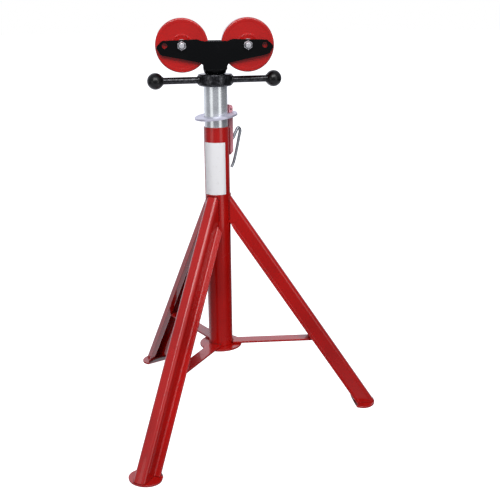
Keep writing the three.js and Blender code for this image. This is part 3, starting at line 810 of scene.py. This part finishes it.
@shows("bright_steel")
def bright_steel(mix):
    """Bright plated fasteners with turned marks."""
    plate = mix.shades.bright
    cloud = mix.noise(160, 3, 0.6).between(0.35, 0.7)
    return mix.surface(mix.blend(cloud, tone(plate, 0.85), plate), 0.18 + 0.16 * cloud,
                       mix.noise(900, 2), 50 * MICRON, Metallic=0.7)


@shows("black_paint")
def nylon(mix):
    """The dark locking ring of a nut, scored by its bolt."""
    scores = mix.streaks((300, 2400, 300), 2, 0.5)
    return mix.surface(mix.blend(scores, (0.012, 0.013, 0.016), (0.035, 0.037, 0.042)),
                       0.4 + 0.15 * scores, scores, 100 * MICRON)


@shows("label")
def label(mix):
    """Bare coated sticker: paper grain under a clear film, yellowing at its rim."""
    low, high = span("post_label", Z)
    up, margin = mix.along(Z), 1.6 * MM
    rim = 1 - up.between(low, low + margin) * (1 - up.between(high - margin, high))
    grime_and_shade = mix.noise(90, 4, 0.65).between(0.58, 0.75)
    tint = mix.blend(grime_and_shade * 0.25, mix.blend(rim * 0.5, mix.shades.label, (0.72, 0.7, 0.66)),
                     (0.6, 0.59, 0.57))
    return mix.surface(tint, 0.34 + 0.1 * grime_and_shade, mix.streaks((1400, 1400, 320), 3),
                       40 * MICRON, 0.4, Coat_Weight=0.3, Coat_Roughness=0.15)


@shows(None)
def studio_paper(mix):
    """Pale seamless paper."""
    pale = mix.shades.floor
    tooth = mix.noise(60, 4)
    return mix.surface(mix.blend(tooth, tone(pale, 0.985), pale), 0.9, tooth, 100 * MICRON,
                       0.2, Specular_IOR_Level=0.0, Emission_Color=(1, 1, 1, 1),
                       Emission_Strength=1.0)


# The welded base

def leg_place(base, x, y, along):
    """A point of the leg: x in from the nose, y across, and how far up from the toe."""
    lean = base.lean
    pad = span("foot_pad_right", Z)[0] + PAD_SHEET
    return Vector((base.toe + x * math.cos(lean) - along * math.sin(lean), y,
                   pad + x * math.sin(lean) + along * math.cos(lean)))


def fold_place(base):
    """How far from the mast's axis a pad is folded up."""
    return base.toe - (base.depth + GAP) / math.cos(base.lean)


def lips_meet_post(base):
    """How far up from the toe the lips' backs reach the post."""
    back = base.toe - base.depth * math.cos(base.lean)
    return (back - POST - GAP) / math.sin(base.lean)


def hat_line(base, inset=0.0):
    """The channel's outer line from lip to lip, as (x, y) points of the leg's section."""
    half = base.nose / 2 + inset
    corner = base.nose_round + inset
    back = base.sheet - base.depth + inset
    points = [(back, half + base.lip), (back, half + base.lip_round), (back, half)]
    points += arc(inset - corner, half - corner, corner, QUARTER, 0, 6)
    return points + [(x, -y) for x, y in reversed(points)]


class STAND_OT_legs(Operator):
    """Folds a strip into the hat channel, copes it round the post and copies it"""
    bl_idname = "stand.legs"
    bl_label = "Legs"

    def execute(self, context):
        base = context.scene.stand_base
        half, edge = base.nose / 2, base.nose / 2 + base.lip
        back = base.sheet - base.depth
        meet = lips_meet_post(base)
        spare = 20 * MM  # how far the cutting blocks run past the leg
        tall = meet + base.depth + 2 * POST / math.sin(base.lean)
        low = -(base.depth + 6 * MM) * math.tan(base.lean)
        wall = [(back, edge), (back, half), (0, half)]
        line = [(x, y, low) for x, y in wall + [(x, -y) for x, y in reversed(wall)]]
        leg = drawn("leg", line, None)
        with Work(leg) as work:
            work.all()
            work.extrude((0, 0, tall - low))
            work.soften(Z, base.nose_round, 8, x=0)
            work.soften(Z, base.lip_round, 4, x=back, y=half)
            work.outward()
        thicken(leg, base.sheet, (back, 0, tall / 2))
        with Work(leg) as work:
            work.soften(Z, base.lip_edge, 2, y=edge)
        for side in (1, -1):
            near, far = sorted((side * half, side * (half + spare)))
            tool = block("tool", (-base.depth - spare, near, meet - spare - 2 * MM),
                         (spare, far, tall + spare))
            with Work(tool) as work:
                work.slice((0, side * half, meet), (0, side, 1), "inner")
            cut(leg, tool)
        placed(leg, (0, -base.lean, 0), (base.toe, 0, PAD_SHEET))
        with Work(leg) as work:
            work.slice((0, 0, PAD_SHEET + GAP), (0, 0, 1), "inner")
            work.slice(ORIGIN, (1, 0, 0), "inner")
        cut(leg, cylinder("tool", POST + GAP, 0, 2 * tall, FINE))
        smooth(leg)
        repeat(LEGS, "frame", (leg, "leg_channel", "red_paint", "leg_{}"))
        return {"FINISHED"}


class STAND_OT_foot_pads(Operator):
    """Folds an oval plate up against the leg's lips and copies it"""
    bl_idname = "stand.foot_pads"
    bl_label = "Foot Pads"

    def execute(self, context):
        base = context.scene.stand_base
        fold = fold_place(base)
        centre = (base.toe + base.pad_ahead - base.pad_length / 2, 0, PAD_SHEET)
        pad = start(bpy.ops.mesh.primitive_circle_add, "pad", vertices=ROUND,
                    radius=base.pad_width / 2, fill_type="NGON", location=centre)
        with Work(pad) as work:
            work.all()
            bpy.ops.transform.resize(value=(base.pad_length / base.pad_width, 1, 1),
                                     center_override=centre)
            work.slice((fold, 0, PAD_SHEET), (1, 0, 0))
            work.pick("FACE", lambda at, way: at.x < fold)
            bpy.ops.transform.rotate(value=base.lean - QUARTER, orient_axis="Y",
                                     orient_type="GLOBAL",
                                     center_override=(fold, 0, PAD_SHEET))
            work.soften(Y, base.pad_fold, 4, x=fold)
        thicken(pad, PAD_SHEET, (fold + 2 * MM, 0, -20 * MM))
        ease(pad, base.pad_round, 3, 50)
        smooth(pad)
        repeat(LEGS, "frame", (pad, "foot_pad_plate", "red_paint_foot", "foot_pad_{}"))
        return {"FINISHED"}


class STAND_OT_braces(Operator):
    """Cuts the flat braces to the legs' lean, and rounds the flange's rim"""
    bl_idname = "stand.braces"
    bl_label = "Braces and Flange"

    def execute(self, context):
        base = context.scene.stand_base
        low, high = span("brace_right", Z)
        half = radius_of("brace_right", Y)
        inner, outer = span("brace_right", X)
        brace = block("brace", (inner, -half, low), (outer, half, high))
        with Work(brace) as work:
            work.slice((outer, 0, low), (math.cos(base.lean), 0, math.sin(base.lean)), "outer")
            work.soften(X, base.brace_round, 3)
        cut(brace, cylinder("tool", POST + GAP / 2, low - GAP, high + GAP))
        smooth(brace)
        repeat(LEGS, "frame", (brace, "brace_bar", "red_paint", "brace_{}"))
        flange = cylinder("flange_plate", radius_of("base_flange"), *span("base_flange", Z))
        ease(flange, base.flange_round, 3)
        smooth(flange)
        set_down(flange, "frame", "red_paint", ["base_flange"])
        return {"FINISHED"}


class STAND_OT_post(Operator):
    """Rolls the post's tube, drills it for the pin and sticks the bare label on"""
    bl_idname = "stand.post"
    bl_label = "Post and Label"

    def execute(self, context):
        lock = context.scene.stand_lock
        post = tube("post_tube", "outer_post", POST, lock.post_wall, lock.post_rim,
                    POST - lock.post_wall / 2)
        cut(post, drill(lock.pin_hole, MAST / 2, 2 * MAST, POST_TOP - PIN_DROP, lock.side))
        smooth(post)
        set_down(post, "frame", "red_paint", ["outer_post"])
        low, high = span("post_label", Z)
        reach = POST + GAP
        width = lock.label_width / reach
        sticker = drawn("label_sticker", [(reach, 0, low), (reach, 0, high)], None)
        with Work(sticker) as work:
            work.spin(width, 28)
            work.outward()
        azimuth = lambda at: math.atan2(at.y, at.x)
        turns = [azimuth(point.co) for point in sticker.data.vertices]
        turned = (min(turns) + max(turns)) / 2
        with Work(sticker) as work:
            work.pick("VERT", lambda at, way:
                      abs(abs(azimuth(at) - turned) - width / 2) < TINY / reach)
            work.bevel(lock.label_corner, 4, "VERTICES")
        thicken(sticker, lock.label_film, (0, 0, (low + high) / 2))
        smooth(sticker)
        set_down(sticker, "frame", "label", ["post_label"], lock.label_side - turned)
        return {"FINISHED"}


# The lock, the mast and the jack

def ring_radii(lock):
    """The ring's hole, the end of its slot and its outside, clear of what it tilts round."""
    notch = POST + GAP + lock.bar_depth - lock.notch_depth
    hole, slot = ((reach + GAP + lock.ring_sheet / 2 * math.sin(lock.cant))
                  / math.cos(lock.cant) for reach in (MAST, notch))
    return hole, slot, slot + lock.ring_land


class STAND_OT_lock(Operator):
    """Cuts the notched bar, turns the keyed friction ring and bends the hitch pin"""
    bl_idname = "stand.lock"
    bl_label = "Lock Bar, Ring and Pin"

    def execute(self, context):
        lock = context.scene.stand_lock
        inner = POST + GAP
        outer = inner + lock.bar_depth
        half = lock.bar_width / 2
        low, high = span("lock_bar", Z)
        ring_z = middle("friction_ring").z
        notch = ring_z + (outer - lock.notch_depth) * math.tan(lock.cant)
        pin_z = POST_TOP - PIN_DROP
        bar = block("notched_bar", (inner, -half, low), (outer, half, high))
        with Work(bar) as work:
            work.soften(Y, lock.crown, 8, x=outer, z=high)
            work.soften(Y, lock.heel, 1, x=outer, z=low)
            work.soften(Z, lock.bar_edge, 3, x=outer)
        cut(bar, block("tool", (outer - lock.notch_depth, -2 * half, notch - lock.notch / 2),
                       (outer + half, 2 * half, notch + lock.notch / 2)),
            across("tool", lock.eye, -2 * half, 2 * half, (inner + outer) / 2,
                   high - lock.eye_drop),
            drill(lock.pin_hole, inner - half, outer + half, pin_z))
        smooth(bar, 30)
        set_down(bar, "frame", "red_paint_rubbed_and_sheen", ["lock_bar"], lock.side)

        hole, slot, rim = ring_radii(lock)
        sheet, key = lock.ring_sheet / 2, half + GAP
        ring = cylinder("grip_ring", rim, -sheet, sheet, FINE)
        cut(ring, cylinder("tool", hole, -2 * sheet, 2 * sheet, FINE),
            block("tool", (0, -key, -2 * sheet), (slot, key, 2 * sheet)))
        ease(ring, lock.ring_edge, 3)
        smooth(ring)
        placed(ring, (0, -lock.cant, 0), (0, 0, ring_z))
        set_down(ring, "ring", "ring_steel", ["friction_ring"], lock.side)

        bow_shares = [(0.2, 0.1), (0.45, 0.55), (0.8, 1), (1, 0.78), (0.88, 0.2)]
        tail_shares = [(0.44, 0.55), (0.17, 0.85), (-0.06, 1)]
        tip = MAST + lock.pin_clear
        stops = [(tip, 0), ((tip + outer) / 2, 0), (outer, 0)]
        stops += [(outer + a * lock.pin_reach, b * lock.pin_rise) for a, b in bow_shares]
        stops += [(outer + a * lock.pin_reach, -b * lock.pin_hang) for a, b in tail_shares]
        straight = 0.45  # share of the pin's length before it thins
        thinning = lambda k, count: 1 - (1 - lock.pin_tail) * (
            max(0.0, k / (count - 1) - straight) / (1 - straight))
        pin = swept("bent_pin", bent([(r, 0, pin_z + z) for r, z in stops]), lock.pin, 5,
                    thinning)
        ease(pin, lock.pin_end, 3, 60)
        smooth(pin, 45)
        set_down(pin, "pin", "drawn_wire", ["hitch_pin"], lock.side)
        return {"FINISHED"}


class STAND_OT_mast(Operator):
    """Draws the sliding mast with its row of adjusting holes"""
    bl_idname = "stand.mast"
    bl_label = "Mast"

    def execute(self, context):
        jack, lock = context.scene.stand_jack, context.scene.stand_lock
        first = span("inner_tube", Z)[0] + jack.first
        mast = tube("mast_tube", "inner_tube", MAST, jack.mast_wall, jack.mast_rim)
        cut(mast, *[drill(jack.hole, MAST / 2, 1.5 * MAST, first + k * jack.pitch, lock.side)
                    for k in range(jack.holes)])
        smooth(mast)
        set_down(mast, "mast", "zinc", ["inner_tube"])
        return {"FINISHED"}


class STAND_OT_screw(Operator):
    """Winds one pitch of thread up the lifting screw and sets the head's spigot on it"""
    bl_idname = "stand.screw"
    bl_label = "Lifting Screw"

    def execute(self, context):
        jack = context.scene.stand_jack
        low, top = span("lift_screw", Z)
        high = span("handle_hub", Z)[1]
        crest, root, pitch = jack.screw, jack.screw - jack.thread_depth, jack.thread
        rise = [(0, root), (0.25, root), (0.375, crest), (0.625, crest), (0.75, root), (1, root)]
        thread = drawn("lift_screw_thread",
                       [(r, 0, low + (share - 1.5) * pitch) for share, r in rise], None)
        modify(thread, "SCREW", axis="Z", screw_offset=pitch, steps=40, render_steps=40,
               iterations=math.ceil((high - low) / pitch) + 2, use_merge_vertices=True,
               merge_threshold=MELD)
        with Work(thread) as work:
            work.merge()
            work.slice((0, 0, low), (0, 0, 1), "inner")
            work.slice((0, 0, high), (0, 0, 1), "outer")
        outward(thread)
        spigot = cylinder("spigot", jack.spigot, high - root, top, ROD)
        ease(spigot, jack.turned)
        screw = joined("lift_screw_thread", thread, spigot)
        smooth(screw, 25)
        set_down(screw, "screw", "zinc", ["lift_screw"])
        return {"FINISHED"}


class STAND_OT_handle(Operator):
    """Turns the cast hub, and makes its two rods and balls"""
    bl_idname = "stand.handle"
    bl_label = "Hub and Handle"

    def execute(self, context):
        jack = context.scene.stand_jack
        foot, high = span("handle_hub", Z)
        low = span("inner_tube", Z)[1] + GAP
        outer = radius_of("handle_hub", Y)
        bore = jack.screw + GAP
        skirt = MAST - jack.mast_wall - GAP
        centre = (low + high) / 2
        upper, lower = jack.hub_round, jack.hub_under
        profile = [(bore, foot), (skirt, foot), (skirt, low)]
        profile += arc(outer - lower, low + lower, lower, -QUARTER, 0, 4)
        profile += arc(outer - upper, high - upper, upper, 0, QUARTER, 4)
        hub = lathe("hub_casting", [*profile, (bore + jack.hub_lead, high),
                                    (bore, high - jack.hub_lead)])
        rod = radius_of("handle_rod_right", Z)
        socket = rod + GAP
        seat = outer - jack.seat
        past = 6 * MM  # how far a drill runs past what it cuts
        for turn in (0, math.pi):
            cut(hub, drill(socket, seat, outer + past, centre, turn, ROD))
        for turn in (0, math.pi):
            boss = drill(jack.boss, outer - past, outer + jack.boss_proud, centre, turn, ROD)
            cut(boss, drill(socket, outer - 1.5 * past, outer + past, centre, turn, ROD))
            ease(boss, 0.9 * MM, 3)
            hub = joined("hub_casting", hub, boss)
        smooth(hub)
        set_down(hub, "handle", "worn_black", ["handle_hub"], jack.side)

        radius = radius_of("handle_ball_right", Z)
        end = jack.reach - radius + jack.seat - GAP
        bar = drill(rod, seat + GAP, end, centre, 0, ROD)
        ease(bar, jack.turned)
        smooth(bar)
        ball = start(bpy.ops.mesh.primitive_uv_sphere_add, "ball", segments=64, ring_count=40,
                     radius=radius, rotation=(0, QUARTER, 0),
                     location=(jack.reach, 0, centre))
        mouth = jack.reach - math.sqrt(radius ** 2 - jack.collar ** 2)
        with Work(ball) as work:
            work.slice((mouth, 0, centre), (1, 0, 0), "inner")
            work.pick("FACE", lambda at, way: way.x < -0.99 and at.x < mouth + TINY)
            work.extrude((-jack.collar_proud, 0, 0))
        cut(ball, drill(socket, mouth - past, end + GAP, centre, 0, ROD))
        ease(ball, 0.5 * MM, 2, 35)
        smooth(ball)
        sides = {"right": (jack.side, ORIGIN), "left": (jack.side + math.pi, ORIGIN)}
        repeat(sides, "handle", (bar, "handle_bar", "worn_black", "handle_rod_{}"),
               (ball, "handle_knob", "cast_black", "handle_ball_{}"))
        return {"FINISHED"}


# The swivelling head

class STAND_OT_cup(Operator):
    """Turns the cup that swivels on the screw's spigot"""
    bl_idname = "stand.cup"
    bl_label = "Cup"

    def execute(self, context):
        head = context.scene.stand_head
        low, high = span("head_cup", Z)
        outer = radius_of("head_cup")
        roof = low + head.cup_roof
        lip = 0.6 * MM
        pinhole = 0.5 * MM  # left open along the axis
        shoulder = arc(head.cup_mouth, low + head.cup_round, outer - head.cup_mouth,
                       -QUARTER, 0, 10, head.cup_round)
        cup = lathe("swivel_cup", [(head.cup_bore, low), *shoulder, (outer, high - lip),
                                   (outer - lip, high), (pinhole, high), (pinhole, roof),
                                   (head.cup_bore, roof)])
        smooth(cup)
        set_down(cup, "head", "black_paint", ["head_cup"])
        return {"FINISHED"}


def yoke_corners(head):
    """The plate's corners from its middle to its right end, with how far each is rounded."""
    spare, tip = AXLE_X + head.spare, span("yoke_plate_rear", X)[1]
    neck = 21.825 * MM
    foot = span("yoke_plate_rear", Z)[0] - AXLE_Z
    return [(23 * MM, 7.5 * MM, 12), (32 * MM, 11 * MM, 12), (spare + 4 * MM, 9 * MM, 6),
            (tip, -0.5 * MM, 1.6), (tip, -5.5 * MM, 1.6), (spare + 7 * MM, -16.5 * MM, 6),
            (AXLE_X + MM, -23.5 * MM, 30), (neck + 4.5 * MM, -31 * MM, 3),
            (neck, -35.5 * MM, 6), (neck, foot, 0.8)]


class STAND_OT_yoke(Operator):
    """Cuts the two yoke plates to their outline and puts the spreader between them"""
    bl_idname = "stand.yoke"
    bl_label = "Yoke"

    def execute(self, context):
        head = context.scene.stand_head
        inner, outer = PLATE_FACE
        half = yoke_corners(head)
        corners = half + [(-x, z, r) for x, z, r in reversed(half)]
        plate = drawn("plate", [(x, inner, AXLE_Z + z) for x, z in eased(corners)])
        with Work(plate) as work:
            work.all()
            work.extrude((0, outer - inner, 0))
        outward(plate)
        past = 40 * MM  # beyond the plate's outer face
        cut(plate, *[across("tool", head.bolt + LOOSE, 0, past, side * x, AXLE_Z, 40)
                     for x in (AXLE_X, AXLE_X + head.spare) for side in (1, -1)])
        ease(plate, head.plate_edge, 2, 50)
        smooth(plate)
        repeat(PLATES, "head", (plate, "yoke_side", "black_paint", "yoke_plate_{}"))
        low, high = (corner - Vector((MAST_X, 0, 0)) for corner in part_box("yoke_spreader"))
        bar = block("yoke_crossbar", low, high)
        with Work(bar) as work:
            work.soften(Y, head.crossbar_round, 4)
        smooth(bar)
        set_down(bar, "head", "black_paint", ["yoke_spreader"])
        return {"FINISHED"}


class STAND_OT_rollers(Operator):
    """Turns one steel roller with its raised ring, and copies it"""
    bl_idname = "stand.rollers"
    bl_label = "Rollers"

    def execute(self, context):
        head = context.scene.stand_head
        outer = radius_of("roller_right", Z)
        hub = span("roller_right", Y)[1]
        bore, edge = head.hub_bore, head.tread_round
        rim = hub - 1.4 * MM
        web = rim - 0.3 * MM
        land = outer - edge - 5 * MM
        slope = 1 * MM
        soft = 0.35 * MM
        half = [(bore, hub - 1.5 * slope), (bore + slope / 2, hub - slope),
                (head.ring_in - soft, hub - slope), (head.ring_in + slope, hub - soft / 2),
                (head.ring_in + slope + soft, hub), (head.ring_out - slope - soft, hub),
                (head.ring_out - slope, hub - soft / 2), (head.ring_out, web + soft / 2),
                (head.ring_out + soft, web), (land, web),
                (land + 0.9 * slope, rim - 0.1 * slope), (land + 1.4 * slope, rim)]
        half += arc(outer - edge, rim - edge, edge, QUARTER, 0, 6)
        roller = lathe("roller", half + [(r, -h) for r, h in reversed(half)], Y, FINE)
        smooth(roller, 32)
        repeat(AXLES, "{}_roller", (roller, "roller_wheel", "red_paint", "roller_{}"))
        return {"FINISHED"}


def hexagon(name, flats, low, high):
    """A hexagon along Y whose corners are turned off at both ends."""
    corner = flats / math.sqrt(3)
    guard = across("guard", corner + TINY, low, high, sides=64)
    ease(guard, 0.9 * MM, 1)
    return cut(across(name, corner, low, high, sides=6), guard, way="INTERSECT")


def bush(name, inner, outer, low, high):
    """A sleeve or washer along Y, with its outer corners broken."""
    soft = 0.4 * MM
    return lathe(name, [(inner, low), (outer - soft, low), (outer, low + soft),
                        (outer, high - soft), (outer - soft, high), (inner, high)], Y, 64)


class STAND_OT_fasteners(Operator):
    """Makes the sleeve, washers, bolt and lock nut of one roller, and copies them"""
    bl_idname = "stand.fasteners"
    bl_label = "Bolts, Nuts, Washers and Sleeves"

    def execute(self, context):
        head, outer = context.scene.stand_head, PLATE_FACE[1]
        point, crown = span("roller_bolt_right", Y)
        shank = across("shank", head.bolt, point, outer + 2 * GAP, sides=ROD)
        with Work(shank) as work:
            work.pick("EDGE", lambda at, way: at.y < point + TINY)
            work.bevel(0.9 * MM, 2)
        depth, half = 0.6 * MM, 0.8 * MM
        cut(shank, *[lathe("tool", [(head.bolt - depth, y), (head.bolt + MM, y - half),
                                    (head.bolt + MM, y + half)], Y, ROD)
                     for y in (point + (1.1 + 1.5 * k) * MM for k in range(4))])
        bolt = joined("bolt", hexagon("bolt", head.flats, outer + GAP, crown), shank)

        low, high = span("roller_nut_right", Y)
        bore = head.bolt + LOOSE
        collar_line = [(6, 0.5), (6.2, 0), (6.5, 0), (6.8, 0.5), (6.9, 2.4), (6, 2.4)]
        insert_line = [(5.8, 0.4), (5.95, 0.6), (5.95, 2.3)]
        collar = lathe("collar", [(r * MM, low + h * MM) for r, h in collar_line], Y, 64)
        past = 60 * MM  # beyond the nut at both ends
        nut = cut(hexagon("nut", head.flats, low + 2.2 * MM, high),
                  across("tool", bore, -past, past, sides=ROD))
        insert = lathe("insert", [(bore, low + 0.6 * MM), (bore + 0.2 * MM, low + 0.4 * MM),
                                  *[(r * MM, low + h * MM) for r, h in insert_line],
                                  (bore, low + 2.3 * MM)], Y, 64)
        sleeve = bush("sleeve", bore, radius_of("roller_sleeve_right"),
                      *span("roller_sleeve_right", Y))
        parts = [(bolt, "axle_bolt", "bright_steel", "roller_bolt_{}"),
                 (joined("nut", nut, collar), "lock_nut", "bright_steel", "roller_nut_{}"),
                 (insert, "nut_insert", "nylon", None),
                 (sleeve, "axle_sleeve", "bright_steel", "roller_sleeve_{}")]
        for face in ("front", "rear"):
            node = f"roller_washer_right_{face}"
            parts.append((bush(f"washer_{face}", head.hub_bore, radius_of(node), *span(node, Y)),
                          f"thrust_washer_{face}", "zinc", "roller_washer_{}_" + face))
        for part in parts:
            smooth(part[0])
            repeat(AXLES, "head", part)
        return {"FINISHED"}


class STAND_OT_welds(Operator):
    """Lays the weld beads that hold the legs, braces, pads, bar, flange and cup"""
    bl_idname = "stand.welds"
    bl_label = "Weld Beads"

    def execute(self, context):
        base, lock = context.scene.stand_base, context.scene.stand_lock
        size, step, lean = base.bead, base.ripple, base.lean
        wide_step = step + 0.2 * MM
        # Each line keeps a fraction of a millimetre off its corner, where the bead is fullest
        top = []
        for x, y in hat_line(base, 0.3 * MM):
            if abs(y) <= base.nose / 2 + base.lip_round:
                reach = math.sqrt((POST + 0.2 * MM) ** 2 - y ** 2)
                top.append(leg_place(base, x, y, (base.toe + x * math.cos(lean) - reach)
                                     / math.sin(lean)))
        toe = [leg_place(base, x, y, (GAP - x * math.sin(lean)) / math.cos(lean))
               for x, y in hat_line(base, -0.7 * MM)]
        low, high = span("brace_right", Z)
        half = 0.9 * radius_of("brace_right", Y)
        root = [(x, y, high) for x, y in arc(0, 0, POST + 0.3 * MM, -0.5, 0.5, 12)]
        end = span("brace_right", X)[1] - (high - low) * math.tan(lean) + 0.2 * MM
        tip = [(end, -half, high), (end, half, high)]
        for name, line, every, thickness in (
                ("leg_weld", top, step, size), ("toe_weld", toe, wide_step, 0.8 * size),
                ("brace_root_weld", root, step, size),
                ("brace_tip_weld", tip, step, 0.9 * size)):
            seam = bead("seam", evenly(line, every), thickness)
            repeat(LEGS, "frame", (seam, name, "red_paint_weld", None))
        under = span("base_flange", Z)[0] - 0.4 * MM
        rim = [(x, y, under) for x, y in arc(0, 0, 0.98 * POST, 0, math.tau, 64)[:-1]]
        set_down(bead("flange_weld", rim, size, "EDGE"), "frame", "red_paint_weld")
        low = span("lock_bar", Z)[0] + 2 * MM
        half = lock.bar_width / 2
        reach = math.sqrt(POST ** 2 - half ** 2) + 1.2 * MM
        side = half + 0.4 * MM
        for name, y in (("bar_weld_near", -side), ("bar_weld_far", side)):
            line = evenly([(reach, y, low), (reach, y, POST_TOP - 4 * MM)], wide_step)
            set_down(bead(name, line, 0.75 * size), "frame", "red_paint_weld", (), lock.side)
        foot = span("yoke_plate_rear", Z)[0] - 0.2 * MM
        side = PLATE_FACE[0] - 0.2 * MM
        for name, y in (("cup_weld_front", -side), ("cup_weld_rear", side)):
            line = evenly([(-15 * MM, y, foot), (15 * MM, y, foot)], step)
            set_down(bead(name, line, 1.3 * MM), "head", "black_paint_weld")
        return {"FINISHED"}


# The studio and the add-on

class STAND_OT_studio(Operator):
    """Sets the pale floor, the soft lights and the camera"""
    bl_idname = "stand.studio"
    bl_label = "Studio"

    def execute(self, context):
        scene = context.scene
        floor = start(bpy.ops.mesh.primitive_circle_add, "studio_floor", vertices=64,
                      radius=30, fill_type="NGON", location=(MAST_X, 0, -0.5 * MM))
        with Work(floor) as work:
            work.all()
            bpy.ops.mesh.inset(thickness=26)
        floor.data.materials.append(mixed("studio_paper"))
        floor.visible_glossy = floor.visible_diffuse = False
        for name, place, aim, size, power in (
                ("soft_left", (-1.25, -1.29, 0.45), (0, 0, 0.45), (0.86, 0.8), 1.9),
                ("soft_right", (1.13, -1.4, 0.72), (0, 0, 0.72), (0.78, 1.6), 4),
                ("strip", (-0.7, -2.4, 2.1), (0, 0, 0.3), (0.45, 0.9), 6.4),
                ("front", (0.05, -1.15, 1.6), (0, 0, 1.0), (1.4, 0.8), 17.5)):
            bpy.ops.object.light_add(type="AREA", location=Vector(place)
                                     + Vector((MAST_X, 0, 0)))
            lamp = context.object
            lamp.name = name
            lamp.data.shape = "RECTANGLE"
            lamp.data.size, lamp.data.size_y = size
            lamp.data.energy = power
            way = Vector(aim) - Vector(place)
            lamp.rotation_euler = way.to_track_quat("-Z", "Y").to_euler()
        scene.world = bpy.data.worlds.new("studio_air")
        air = Finish(scene.world)
        seen, mirrored = (air.node("ShaderNodeLightPath", {}, [], ray)
                          for ray in ("Is Camera Ray", "Is Glossy Ray"))
        right, ahead, up = map(air.along, (X, Y, Z))
        down = 0 - up
        soft = 0.09 + 0.27 * up.between(-0.25, 0.5)
        shine = (0.37 + 0.63 * (ahead - 0.35 * right).between(0.35, 0.95)
                 - 0.18 * right.between(0.5, 1.0) - 0.2 * down.between(0.1, 0.25)
                 + 0.7 * down.between(0.36, 0.55) + 0.15 * up.between(0.2, 0.6))
        sky = air.node("ShaderNodeBackground", {}, {
            "Color": air.blend(seen, (0.95, 0.96, 1.06), (1, 1, 1)),
            "Strength": seen + (1 - seen) * (soft + mirrored * (shine - soft))})
        air.node("ShaderNodeOutputWorld", {}, {"Surface": sky}, None)
        scene.view_settings.view_transform = "Standard"
        bpy.ops.object.camera_add(location=(MAST_X - 0.0494, -1.5263, 0.79948))
        camera = scene.camera = context.object
        camera.name = "photo_camera"
        camera.data.lens = 57.9
        camera.data.sensor_width = 36
        turn = Matrix.Identity(3)
        for axis, degrees in (("Z", -4.16), ("X", 73.41), ("Z", -0.585)):
            turn = turn @ Matrix.Rotation(math.radians(degrees), 3, axis)
        camera.rotation_euler = turn.to_euler()
        return {"FINISHED"}


OPERATORS = (STAND_OT_studio, STAND_OT_legs, STAND_OT_foot_pads, STAND_OT_braces,
             STAND_OT_post, STAND_OT_lock, STAND_OT_mast, STAND_OT_screw, STAND_OT_handle,
             STAND_OT_cup, STAND_OT_yoke, STAND_OT_rollers, STAND_OT_fasteners,
             STAND_OT_welds)
GROUPS = {"stand_base": BaseSizes, "stand_lock": LockSizes, "stand_jack": JackSizes,
          "stand_head": HeadSizes, "stand_finishes": Finishes}


class STAND_PT_panel(Panel):
    """Lists what the stand is made of"""
    bl_idname = "STAND_PT_panel"
    bl_label = "Pipe Jack Stand"
    bl_space_type = "VIEW_3D"
    bl_region_type = "UI"
    bl_category = "Jack Stand"

    def draw(self, context):
        for operator in OPERATORS:
            self.layout.operator(operator.bl_idname)
        for name, group in GROUPS.items():
            part = self.layout.box()
            part.label(text=group.__doc__)
            for size in group.__annotations__:
                part.prop(getattr(context.scene, name), size)


def register():
    for name, group in GROUPS.items():
        bpy.utils.register_class(group)
        setattr(bpy.types.Scene, name, PointerProperty(type=group))
    for part in (*OPERATORS, STAND_PT_panel):
        bpy.utils.register_class(part)


def unregister():
    for part in (STAND_PT_panel, *reversed(OPERATORS)):
        bpy.utils.unregister_class(part)
    for name, group in reversed(GROUPS.items()):
        delattr(bpy.types.Scene, name)
        bpy.utils.unregister_class(group)


def main():
    """Makes the whole stand."""
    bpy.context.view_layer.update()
    register()
    for operator in OPERATORS:
        group, name = operator.bl_idname.split(".")
        getattr(getattr(bpy.ops, group), name)()


if __name__ == "__main__":
    main()
